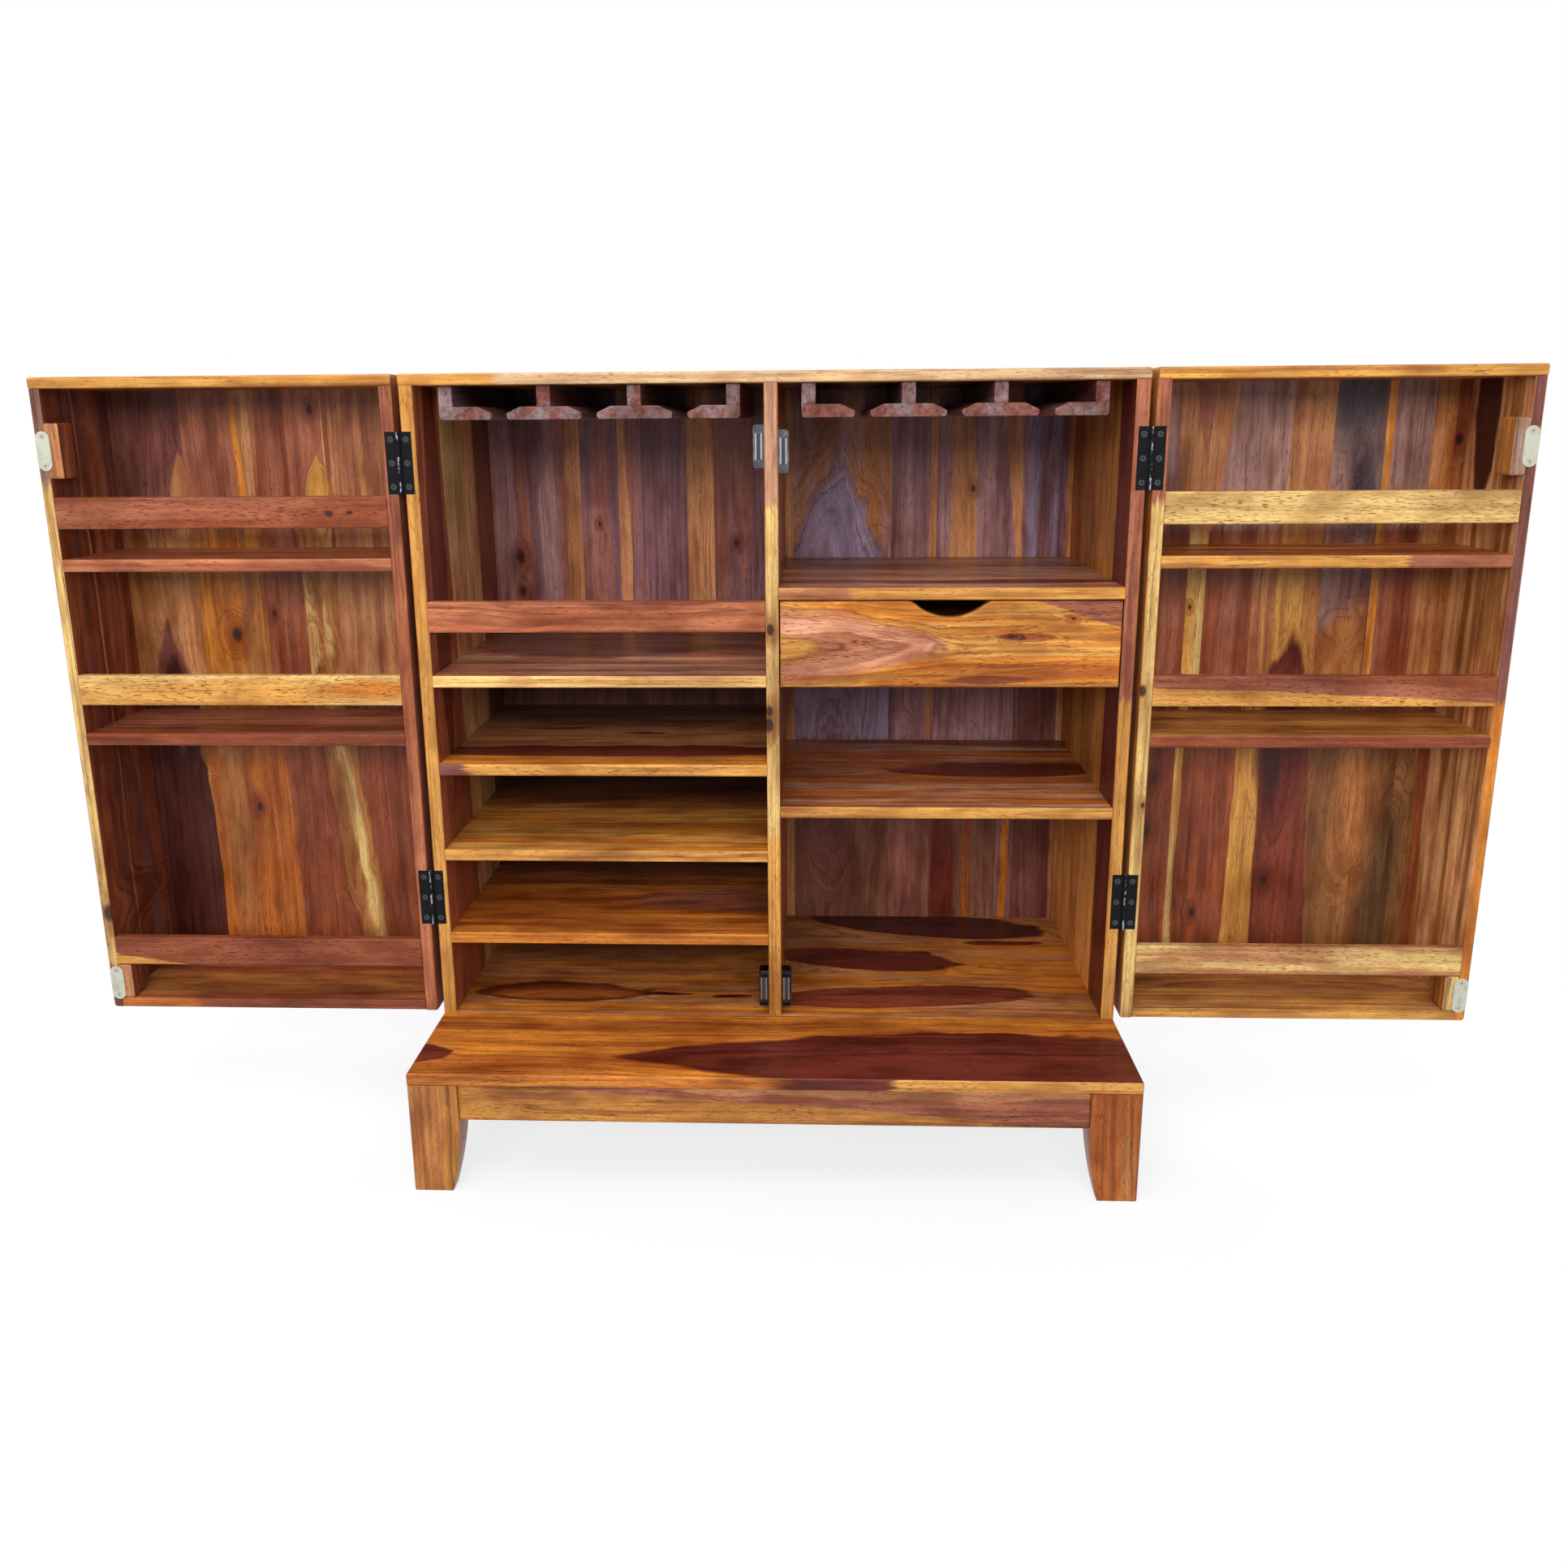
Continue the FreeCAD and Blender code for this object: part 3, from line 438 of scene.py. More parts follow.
# Boards as the photo shows them, by node; spans of the door bays along the door panels
UPPER = (645, 860)
LOWER = (-20, 400)
BOARDS = {
    "base_front_board": board(
        "X", "Y", HONEY, AMBER,
        flame(720, 48, 480, 66, HEART), oval(-15, 50, 58, 22, HEART), edge(GOLD, (610, 930)), pores=1.2),
    "cabinet_floor": board(
        "X", "Y", HONEY, TAN,
        oval(630, 60, 195, 32, GARNET, 0.07), oval(590, 178, 138, 36, HEART, -0.10),
        # the wide soft dark oval at the back left is painted shade under the bottle bays
        oval(225, 330, 240, 170, PAINTED_BAY_SHADE, soft=0.7), oval(690, 305, 185, 46, UMBER, -0.14),
        oval(800, 238, 55, 9, HEART),
        oval(150, 65, 118, 30, GARNET), oval(150, 62, 100, 20, AMBER, soft=0.15),
        flame(300, 62, 45, 4, UMBER), flame(392, 56, 30, 5, UMBER)),
    "front_apron": board("X", "Z", STRAW, OLIVE, strip((54, 1), 99, MAUVE), flame(560, 44, 330, 9, TAN),
        pores=1.4),
    "back_apron": board("X", "Z", HONEY, RUST, flame(300, 20, 260, 18, HEART)),
    "side_aprons": board("Y", "Z", GOLD, OLIVE, flame(260, 30, 150, 16, RUST)),
    "front_legs": board("Z", "X", GOLD, OLIVE, planks=[(457, OLIVE, STRAW), (914, AMBER, OLIVE)], pores=1.3,
        figure=0.7),
    "back_legs": board("Z", "X", GOLD, HONEY, planks=[(457, HONEY, RUST), (914, GOLD, OLIVE)], pores=1.2,
        figure=0.7),
    "left_side": board(
        # the bright gold base tone of the inner face is painted light
        "Z", "Y", PAINTED_LIGHT_GOLD, PALE, strip(-9, (150, 95), DUSK, clip=(1.3, 348)),
        flame(640, 60, 330, 32, GARNET, clip=(1.3, 348)),
        strip((262, 248), 360, RUST), edge(GOLD), figure=0.5,
        outer=((HONEY, AMBER),)),
    "right_side": board(
        "Z", "Y", HONEY, GOLD, strip(-9, (80, 66), HEART, clip=(1.3, 348)), strip(270, 360, AMBER),
        # the bright orange strip over the lower part of the inner face is painted light
        strip(84, 360, PAINTED_LIGHT_ORANGE, (-20, 290)), edge(GOLD), edge(MAUVE, (440, 850)), figure=0.5,
        outer=((AMBER, HONEY),)),
    "top_board": board(
        "X", "Y", GOLD, HONEY, flame(520, 95, 330, 26, RUST), oval(300, 232, 240, 22, HEART), edge(CREAM),
        edge(GOLD, (-20, 120)),
        planks=[(62, GOLD, HONEY), (135, HONEY, AMBER), (196, RUST, MAUVE),
                (270, OLIVE, HONEY), (348, GOLD, TAN)]),
    "back_panel": board(
        # on the inner face the bay tones and the slate flame carry painted light and a painted bluish sheen
        "Z", "X", PLUM, RUST,
        oval(690, 20, 150, 18, BAY_BROWN_PAINTED_SHEEN, soft=0.4, clip=(0, 112)),
        oval(600, 85, 260, 15, BAY_BROWN_PAINTED_SHEEN, soft=0.4, clip=(0, 112)),
        strip(190, (232, 206), BAY_GOLD_PAINTED_SHEEN, clip=(195, 240)),
        flame(419, 528, 330, 96, SLATE_PAINTED_SHEEN, clip=(460, 608), soft=0.08),
        strip(609, 617, BAY_GOLD_PAINTED_SHEEN, (470, 572)),
        strip((693, 700), (738, 730), TAN, (560, 820), (676, 783)),
        strip((800, 770), (808, 800), BAY_GOLD_PAINTED_SHEEN, (560, 860)),
        strip(868, 890, BAY_GOLD_PAINTED_SHEEN),
        strip(455, 790, BAY_UMBER_PAINTED_SHEEN, (-20, 300), (460, 783)),
        oval(120, 520, 190, 40, PLUM, clip=(460, 608), soft=0.4),
        oval(60, 640, 200, 20, BAY_RUST_PAINTED_SHEEN, soft=0.5), flame(60, 700, 230, 22, HEART, clip=(676, 783), soft=0.4),
        strip(732, 742, AMBER, (-20, 300)), strip(789, 802, HONEY, (-20, 300)),
        strip(808, 870, PLUM, (-20, 460)),
        # the dark strip over the lower left of the back panel is painted shade at the backs of the bottle bays
        strip(-30, 460, PAINTED_BAY_SHADE, (-80, 462), (-5, 436)),
        knot(590, 40, 7), knot(537, 40, 5), knot(610, 372, 4), knot(690, 729, 4), knot(640, 165, 3),
        planks=[(112, BAY_RUST_PAINTED_SHEEN, BAY_PLUM_PAINTED_SHEEN), (136, BAY_GOLD_PAINTED_SHEEN, TAN), (195, BAY_PLUM_PAINTED_SHEEN, BAY_RUST_PAINTED_SHEEN),
                (228, BAY_PLUM_PAINTED_SHEEN, BAY_RUST_PAINTED_SHEEN),
                (297, BAY_PLUM_PAINTED_SHEEN, BAY_PLUM_PAINTED_SHEEN), (338, BAY_GOLD_PAINTED_SHEEN, TAN), (432, BAY_RUST_PAINTED_SHEEN, BAY_PLUM_PAINTED_SHEEN), (460, OLIVE, TAN),
                (608, OLIVE, BAY_BROWN_PAINTED_SHEEN), (664, BAY_BROWN_PAINTED_SHEEN, BAY_PLUM_PAINTED_SHEEN), (676, BAY_GOLD_PAINTED_SHEEN, TAN),
                (783, BAY_BROWN_PAINTED_SHEEN, BAY_PLUM_PAINTED_SHEEN), (808, BAY_BROWN_PAINTED_SHEEN, BAY_PLUM_PAINTED_SHEEN),
                (880, SLATE_PAINTED_SHEEN, BAY_PLUM_PAINTED_SHEEN)], figure=0.55, outer=OUTSIDE),
    "centre_divider": board(
        "Z", "Y", HONEY, RUST, edge(PALE), edge(ROSE, (690, 850)), edge(GOLD, (-20, 260)), eye(534, 6, 5),
        eye(410, 3, 6), eye(428, 4, 5)),
    # on each bottle shelf the wide soft dark oval at the back is painted shade
    "bottle_shelf_1": board(
        "X", "Y", HONEY, AMBER, oval(400, 120, 160, 40, MAUVE, soft=0.3), strip(250, 350, RUST),
        oval(225, 330, 420, 125, PAINTED_BAY_SHADE, soft=0.75), edge(HONEY)),
    "bottle_shelf_2": board("X", "Y", GOLD, HONEY, strip((200, 240), 350, OLIVE),
        oval(225, 330, 420, 125, PAINTED_BAY_SHADE, soft=0.75), edge(GOLD)),
    "bottle_shelf_3": board(
        "X", "Y", HONEY, OLIVE, strip(85, 350, TAN), oval(240, 66, 330, 26, HEART),
        flame(120, 190, 60, 6, UMBER),
        flame(250, 160, 40, 5, UMBER), flame(300, 230, 70, 8, UMBER),
        oval(225, 330, 420, 125, PAINTED_BAY_SHADE, soft=0.75), edge(GOLD), edge(PLUM, (-20, 36)), pores=1.3),
    "bottle_shelf_4": board(
        "X", "Y", MAUVE, ROSE, oval(180, 170, 150, 46, PLUM, soft=0.15),
        oval(225, 330, 420, 125, PAINTED_BAY_SHADE, soft=0.75), edge(SUNLIT)),
    "bottle_guard_rail": board("X", "Z", EMBER, RUST, oval(10, 22, 110, 26, EMBER, soft=0.3)),
    "lower_shelf": board(
        "X", "Y", AMBER, ROSE, oval(300, 172, 150, 34, HEART), strip((330, 285), 350, PLUM),
        oval(90, 190, 110, 20, AMBER, soft=0.4), edge(GOLD)),
    "drawer_shelf": board(
        "X", "Y", ROSE, MAUVE, oval(300, 55, 190, 20, HEART, 0.03, soft=0.12),
        oval(90, 60, 130, 16, RUST, soft=0.2),
        edge(GOLD), edge(TAN, (-20, 90))),
    "drawer_runners": board("Y", "Z", HONEY, OLIVE),
    "left_glass_rails": board("Y", "X", RAIL_GREY, PLUM, pores=0.7),
    "right_glass_rails": board("Y", "X", RAIL_GREY, PLUM, pores=0.7),
    "drawer_front": board(
        "X", "Z", GOLD, HONEY,
        flame(-2, 55, 218, 44, BLUSH, soft=0.16), flame(8, 54, 205, 38, PINK, soft=0.3),
        oval(70, 56, 60, 12, BLUSH, soft=0.6), oval(-10, 50, 62, 22, GOLD, soft=0.3),
        strip((118, 74), 130, MAUVE, (310, 440)), flame(315, 66, 40, 5, RUST, soft=0.4),
        flame(255, 8, 60, 5, RUST, soft=0.4),
        oval(380, 18, 90, 8, AMBER, soft=0.5), knot(291, 66, 4), knot(368, 91, 2.5), pores=1.6, figure=0.8),
    "drawer_sides": board("Y", "Z", GOLD, HONEY),
    "drawer_back": board("X", "Z", GOLD, HONEY),
    "drawer_bottom": board("X", "Y", GOLD, OLIVE),
    "left_door_panel": board(
        "Z", "X", OLIVE, RUST,
        strip(-30, 120, PLUM, UPPER, (0, 111)), flame(690, 105, 66, 13, TAN, soft=0.2),
        strip(100, 182, MAUVE, UPPER, (111, 206)), strip((194, 188), (209, 218), TAN, UPPER),
        strip(250, 320, MAUVE, UPPER, (256, 306)), flame(690, 294, 58, 15, GOLD, soft=0.15),
        strip(-30, (109, 92), UMBER, LOWER, (-1, 111)),
        oval(322, 102, 22, 16, OLIVE, clip=(0, 111), soft=0.2),
        strip(100, (221, 206), AMBER, LOWER), oval(220, 130, 180, 18, OLIVE, soft=0.5),
        strip((221, 206), 320, RUST, LOWER), strip(306, 470, RUST, LOWER),
        oval(235, 303, 240, 27, OLIVE, -0.09),
        oval(200, 312, 170, 9, PALE, -0.12, soft=0.5),
        flame(420, 61, 96, 24, PLUM, clip=(0, 111), soft=0.2), oval(435, 62, 34, 13, UMBER, soft=0.4),
        knot(501, 159, 8), knot(246, 166, 5), knot(531, 216, 3), knot(809, 292, 4),
        planks=[(111, OLIVE, TAN), (206, OLIVE, HONEY), (261, RUST, MAUVE), (306, OLIVE, PALE),
                (455, TAN, MAUVE)], figure=0.55, outer=OUTSIDE),
    "right_door_panel": board(
        "Z", "X", OLIVE, RUST,
        strip(-30, 230, MIST, UPPER, (0, 216)), strip((86, 58), (126, 148), TAN, UPPER),
        strip((105, 84), (107, 120), MAUVE, (735, 860)), strip(262, 345, MIST, UPPER, (271, 336)),
        strip(205, 280, TAN, UPPER, (216, 271)), strip(340, 405, MIST, UPPER, (348, 398)),
        oval(850, 300, 110, 50, INK, clip=(271, 336), soft=0.5), oval(700, 315, 60, 20, INK, soft=0.6),
        strip(-30, 100, RUST, LOWER, (-1, 91)), strip(104, 190, RUST, LOWER),
        strip((170, 182), 216, GOLD, LOWER), strip((299, 274), 430, MOSS, LOWER),
        oval(110, 390, 160, 26, MIRE, 0.1, soft=0.6), oval(260, 345, 110, 26, OLIVE, soft=0.6),
        strip(212, (299, 274), GARNET, LOWER), flame(345, 240, 150, 36, HEART, soft=0.25),
        oval(330, 228, 70, 14, UMBER, soft=0.6),
        strip(262, 345, OLIVE, (400, 508), (271, 336)),
        oval(508, 330, 30, 40, OLIVE, clip=(271, 336), soft=0.4),
        flame(436, 234, 42, 26, HEART, soft=0.15),
        knot(214, 58, 6), knot(293, 64, 5), knot(92, 129, 4), knot(142, 228, 6), knot(537, 99, 2.5),
        knot(759, 434, 6),
        planks=[(91, MAUVE, RUST), (116, PALE, GOLD), (181, RUST, MAUVE), (216, GOLD, MAUVE),
                (271, GOLD, OLIVE),
                (336, MIST, PLUM), (348, GOLD, HONEY), (398, RUST, MAUVE), (426, OLIVE, TAN),
                (455, RUST, OLIVE)],
        figure=0.55, outer=OUTSIDE),
    "left_door_top": board("X", "Y", HONEY, MAUVE, flame(220, 80, 180, 24, RUST), edge(GOLD)),
    "right_door_top": board("X", "Y", GOLD, HONEY, oval(160, 90, 190, 22, MAUVE), edge(GOLD)),
    "left_door_bottom": board(
        "X", "Y", RUST, OLIVE, flame(200, 44, 230, 26, OLIVE, soft=0.15), strip(-9, 12, RUST, clip=(1.3, 12)),
        edge(RUST),
        edge(AMBER, (-20, 110))),
    "right_door_bottom": board("X", "Y", GOLD, TAN, oval(200, 90, 220, 30, OLIVE, soft=0.4), edge(GOLD)),
    "left_door_hinge_side": board("Z", "Y", RUST, MAUVE, flame(300, 70, 240, 30, HEART), edge(EMBER),
        edge(MAUVE, (640, 850))),
    "right_door_hinge_side": board(
        "Z", "Y", GOLD, HONEY, flame(300, 70, 240, 24, RUST), edge(PALE), edge(MAUVE, (690, 850)),
        eye(452, 3, 5), eye(300, 12, 3)),
    "left_door_free_side": board(
        "Z", "Y", RUST, PLUM, strip(62, 66, TAN), oval(620, 100, 220, 22, EMBER, soft=0.5), edge(PALE),
        edge(STONE, (715, 850)), eye(140, 11, 9), edge(PLUM, (-20, 60)), outer=((AMBER, RUST),)),
    "right_door_free_side": board(
        # the bright gold base tone of the inner face is painted light
        "Z", "Y", PAINTED_LIGHT_GOLD, OLIVE, flame(800, 96, 150, 26, UMBER, soft=0.12), edge(HONEY), edge(PLUM, (433, 850)),
        figure=0.4,
        outer=((HONEY, AMBER),)),
    "left_door_upper_shelf": board("X", "Y", MAUVE, RUST, edge(EMBER)),
    "left_door_lower_shelf": board("X", "Y", RUST, MAUVE, strip((36, 60), 160, MAUVE), edge(RUST)),
    "right_door_upper_shelf": board("X", "Y", RUST, HONEY, edge(GOLD), edge(MAUVE, (300, 440))),
    "right_door_lower_shelf": board("X", "Y", OLIVE, GOLD, edge(RUST)),
    "left_door_bottle_rails": board(
        "X", "Z", MAUVE, RUST, strip(-9, (20, 0), GOLD, (-20, 112), (-1, 40)),
        oval(200, 388, 200, 16, GOLD, soft=0.5), oval(390, 388, 60, 12, HONEY, soft=0.6),
        knot(352, 618, 4), knot(378, 618, 3), oval(390, 616, 90, 16, RUST, soft=0.3),
        planks=[(200, RUST, RUST), (500, PALE, GOLD), (637.5, MAUVE, RUST)], pores=2.2, figure=0.4),
    "right_door_bottle_rails": board(
        "X", "Z", GOLD, PALE, strip(360, (391, 374), GOLD, None, (300, 500)),
        planks=[(200, PALE, TAN), (500, RUST, MAUVE), (637.5, PALE, PALE)], pores=2.2, figure=0.4),
    "left_door_catch_blocks": board("Z", "Y", MAUVE, RUST, edge(TAN)),
    "right_door_catch_blocks": board("Z", "Y", HONEY, OLIVE, edge(PALE), edge(STONE, (400, 800))),
    "left_door_knob": board("Y", "X", RUST, PLUM),
    "right_door_knob": board("Y", "X", RUST, PLUM),
}

# Metal tones
# Bare steel shows in rubbed patches and, partly as a painted highlight, along the knuckles
BARE_STEEL_AND_HIGHLIGHT = (0.42, 0.42, 0.43)
STRIKE_ZINC = (0.53, 0.53, 0.42)
PIN_GREY = (0.30, 0.30, 0.29)
# Chrome darkened, with blotches twice as bright, as a painted reflection of dark surroundings and bright
# highlights
CHROME_PAINTED_REFLECTION = (0.11, 0.11, 0.125)
POLE_BRIGHT = (0.72, 0.72, 0.73)
POLE_DULL = (0.30, 0.30, 0.31)
MAGNET_BLACK = (0.03, 0.03, 0.033)
SCREW_BRIGHT = (0.34, 0.34, 0.35)
SCREW_BLACK = (0.05, 0.05, 0.055)
SCREW_ZINC = (0.55, 0.54, 0.42)
SCRATCH_TINT = (0.7, 0.68, 0.66)
PAINT_CAST = (1.0, 1.05, 1.3)
BLACK_SPECULAR = 0.1
# How much of each knuckle's thin pale line shows: partly wear, partly a painted highlight
CABINET_KNUCKLE_WEAR_AND_HIGHLIGHT, DOOR_KNUCKLE_WEAR_AND_HIGHLIGHT = 0.16, 0.06
MAGNET_CORE = 0.0022

# Hinge axis, from the pins
pin_low, pin_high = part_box("hinge_pins")
HINGE_X = pin_high.x - (pin_high.y - pin_low.y) / 2
HINGE_Y = (pin_low.y + pin_high.y) / 2
KNUCKLE_R = HINGE_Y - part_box("hinge_cabinet_leaves")[0].y


def black_steel(name, wear_and_highlight):
    """Black paint over steel, rubbed through on the knuckles along a thin line down their front and back, which
    is partly wear and partly a painted highlight.
    """
    material, tree, shader = new_material(name)
    place = position(tree)
    x = place["X"].math("ABSOLUTE") - HINGE_X
    reach = x.hypot(place["Y"] - HINGE_Y)
    patch = noise(place["X"] * 260.0, place["Y"] * 260.0, place["Z"] * 90.0, 3.0, 0.6)
    grain = noise(place["X"] * 1500.0, place["Y"] * 1500.0, place["Z"] * 1500.0, 2.0)
    # thin line down the front and back of each knuckle: partly paint rubbed through, partly a painted highlight
    knuckle = reach.fall(KNUCKLE_R * 1.02, KNUCKLE_R * 1.12) * x.math("ABSOLUTE").fall(0.0006, 0.0014)
    bare_and_highlight = knuckle * patch.rise(0.62 - wear_and_highlight, 0.72 - wear_and_highlight)
    share = bare_and_highlight.math("MAXIMUM", patch.rise(0.70, 0.84) * 0.18)
    paint = grain * 0.004 + 0.004
    base = tree.nodes.new("ShaderNodeCombineColor")
    for target, scale in zip(base.inputs, PAINT_CAST):
        tree.links.new((paint * scale).socket, target)
    colour = share.between(Value(tree, base.outputs[0]), BARE_STEEL_AND_HIGHLIGHT)
    tree.links.new(colour.socket, shader.inputs["Base Color"])
    tree.links.new((share * 0.7).socket, shader.inputs["Metallic"])
    tree.links.new((grain * 0.14 + 0.46).socket, shader.inputs["Roughness"])
    shader.inputs["Specular IOR Level"].default_value = BLACK_SPECULAR
    return material


def plated(name, colour, roughness, blotch_and_sheen, metallic=1.0):
    """Plated steel with fine scratches and blotches: faint darker ones, or on the chrome brighter ones that are
    a painted reflection.
    """
    material, tree, shader = new_material(name)
    place = position(tree)
    cloud = noise(place["X"] * 120.0, place["Y"] * 120.0, place["Z"] * 60.0, 3.0, 0.6)
    scratch = noise(place["X"] * 2200.0, place["Y"] * 2200.0, place["Z"] * 160.0, 1.0)
    stained_and_sheened = cloud.rise(0.45, 0.75).between(colour, tuple(c * blotch_and_sheen for c in colour))
    tree.links.new(stained_and_sheened.socket, shader.inputs["Base Color"])
    shader.inputs["Metallic"].default_value = metallic
    tree.links.new((scratch * 0.16 + (roughness - 0.08)).socket, shader.inputs["Roughness"])
    return material


def magnet(name, middle):
    """Two bright pole plates with the dark magnet between them."""
    material, tree, shader = new_material(name)
    place = position(tree)
    scratch = noise(place["X"] * 900.0, place["Y"] * 900.0, place["Z"] * 140.0, 2.0)
    core = (place["X"] - middle).math("ABSOLUTE").fall(MAGNET_CORE, MAGNET_CORE + 0.0004)
    bright = scratch.between(POLE_BRIGHT, POLE_DULL)
    tree.links.new(core.between(bright, MAGNET_BLACK).socket, shader.inputs["Base Color"])
    tree.links.new((core * -0.9 + 0.95).socket, shader.inputs["Metallic"])
    tree.links.new((core * 0.3 + scratch * 0.16 + 0.2).socket, shader.inputs["Roughness"])
    return material


def screw_finish(name):
    """Black screws in the hinges, bright ones in the catches, cream zinc ones in the strike plates."""
    material, tree, shader = new_material(name)
    place = position(tree)
    out = place["X"].math("ABSOLUTE")
    scratch = noise(place["X"] * 1400.0, place["Y"] * 700.0, place["Z"] * 1400.0, 2.0)
    hinge, plate = out.rise(0.1, 0.12), out.rise(0.6, 0.62)
    colour = plate.between(hinge.between(SCREW_BRIGHT, SCREW_BLACK), SCREW_ZINC)
    colour = scratch.rise(0.45, 0.7).shade(colour, SCRATCH_TINT)
    tree.links.new(colour.socket, shader.inputs["Base Color"])
    tree.links.new((hinge * -0.45 + 0.85).socket, shader.inputs["Metallic"])
    tree.links.new((scratch * 0.2 + 0.3).socket, shader.inputs["Roughness"])
    return material


def soften(obj, width):
    """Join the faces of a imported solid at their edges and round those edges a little."""
    weld = obj.modifiers.new("Weld", "WELD")
    weld.merge_threshold = WELD
    bevel = obj.modifiers.new("Bevel", "BEVEL")
    bevel.width = width
    bevel.segments = 2
    bevel.limit_method = "ANGLE"
    bevel.angle_limit = math.radians(25)


def dress(node, material, bevel):
    obj = nodes[node]
    obj.data.materials.clear()
    obj.data.materials.append(material)
    soften(obj, bevel)


for seed, (node, spec) in enumerate(BOARDS.items()):
    rounded = BLOCK_BEVEL if node.endswith("_catch_blocks") else WOOD_BEVEL
    dress(node, sheesham(f"sheesham_{node}", spec, *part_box(node), seed), rounded)

dress("hinge_cabinet_leaves", black_steel("hinge_black_worn_highlit", CABINET_KNUCKLE_WEAR_AND_HIGHLIGHT), METAL_BEVEL)
for side in ("left", "right"):
    dress(f"{side}_hinge_door_leaves", black_steel(f"hinge_black_{side}", DOOR_KNUCKLE_WEAR_AND_HIGHLIGHT), METAL_BEVEL)
    zinc = plated(f"strike_zinc_{side}", STRIKE_ZINC, 0.5, 0.72, 0.3)
    dress(f"{side}_door_strike_plates", zinc, METAL_BEVEL)
dress("hinge_pins", plated("pin_steel", PIN_GREY, 0.38, 0.6), METAL_BEVEL)
# the chrome's dark tone and bright blotches are a painted reflection
dress("catch_housings", plated("catch_chrome", CHROME_PAINTED_REFLECTION, 0.16, 2.0), METAL_BEVEL)
for place in ("upper_left", "lower_left", "upper_right", "lower_right"):
    low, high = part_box(f"{place}_magnet")
    dress(f"{place}_magnet", magnet(f"pole_steel_{place}", (low.x + high.x) / 2), METAL_BEVEL / 2)


# Screws, one full head for each solid of a screw node
HEAD_SIDES = 24
SLOT_SHARE = 0.62
SLOT_WIDTH = 0.22
SLOT_DEPTH = 0.45


def islands(obj):
    """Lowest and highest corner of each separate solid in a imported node."""
    parent = {}

    def find(key):
        while parent[key] != key:
            parent[key] = parent[parent[key]]
            key = parent[key]
        return key

    keys = [tuple(round(c, 6) for c in v.co) for v in obj.data.vertices]
    for key in keys:
        parent.setdefault(key, key)
    for face in obj.data.polygons:
        first = find(keys[face.vertices[0]])
        for index in face.vertices[1:]:
            parent[find(keys[index])] = first
    groups = {}
    for key in parent:
        groups.setdefault(find(key), []).append(key)
    for points in groups.values():
        yield Vector(map(min, zip(*points))), Vector(map(max, zip(*points)))


def screw_mesh(mesh, radius, length):
    """Countersunk cross head screw along +Y from its head's face at the origin."""
    shank = radius * 0.45
    ring = [(radius, 0.0), (radius * 0.97, radius * 0.06), (shank, radius - shank),
            (shank, length - shank * 2), (shank * 0.2, length)]
    turns = [2 * math.pi * i / HEAD_SIDES for i in range(HEAD_SIDES)]
    rows = [[mesh.verts.new((r * math.cos(a), y, r * math.sin(a))) for a in turns] for r, y in ring]
    for low, high in zip(rows, rows[1:]):
        for i in range(HEAD_SIDES):
            mesh.faces.new((low[i - 1], low[i], high[i], high[i - 1]))
    mesh.faces.new(rows[-1])
    arm = radius * SLOT_SHARE
    half = radius * SLOT_WIDTH / 2
    outline = [(arm, half), (half, half), (half, arm), (-half, arm), (-half, half), (-arm, half),
               (-arm, -half), (-half, -half), (-half, -arm), (half, -arm), (half, -half), (arm, -half)]
    mouth = [mesh.verts.new((x, 0.0, z)) for x, z in outline]
    floor = [mesh.verts.new((x * 0.7, radius * SLOT_DEPTH, z * 0.7)) for x, z in outline]
    rim = [mesh.edges.new((mouth[i - 1], mouth[i])) for i in range(len(mouth))]
    for i in range(len(mouth)):
        mesh.faces.new((mouth[i - 1], mouth[i], floor[i], floor[i - 1]))
    mesh.faces.new(floor)
    outer = [mesh.edges.get((rows[0][i - 1], rows[0][i])) for i in range(HEAD_SIDES)]
    bmesh.ops.triangle_fill(mesh, edges=rim + outer, use_beauty=True)


def screws(node, body, material):
    """Stand one detailed screw in the place of each packed one."""
    whole = bmesh.new()
    for low, high in islands(nodes[node]):
        size = high - low
        sideways = size.x > size.y
        length = size.x if sideways else size.y
        radius = size.z / 2 * math.cos(math.pi / 6)
        one = bmesh.new()
        screw_mesh(one, radius, length)
        middle = (low + high) / 2
        if sideways:
            inward = -1 if middle.x > 0 else 1
            head = Vector((high.x if inward < 0 else low.x, middle.y, middle.z))
            turn = Matrix.Rotation(math.pi / 2 * -inward, 4, "Z")
        else:
            head = Vector((middle.x, low.y, middle.z))
            turn = Matrix.Rotation(head.x * 40 + head.z * 90, 4, "Y")
        one.transform(Matrix.Translation(head) @ turn)
        part = bpy.data.meshes.new(f"{node}_one")
        one.to_mesh(part)
        one.free()
        whole.from_mesh(part)
        bpy.data.meshes.remove(part)
    bmesh.ops.recalc_face_normals(whole, faces=whole.faces)
    mesh = bpy.data.meshes.new(f"{node}_detailed")
    whole.to_mesh(mesh)
    whole.free()
    obj = bpy.data.objects.new(f"{node}_detailed", mesh)
    bpy.context.scene.collection.objects.link(obj)
    mesh.materials.append(material)
    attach(obj, body)
    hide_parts(node)


screw_steel = screw_finish("screw_finish")
screws("cabinet_screws", "cabinet", screw_steel)
screws("left_door_screws", "left_door", screw_steel)
screws("right_door_screws", "right_door", screw_steel)


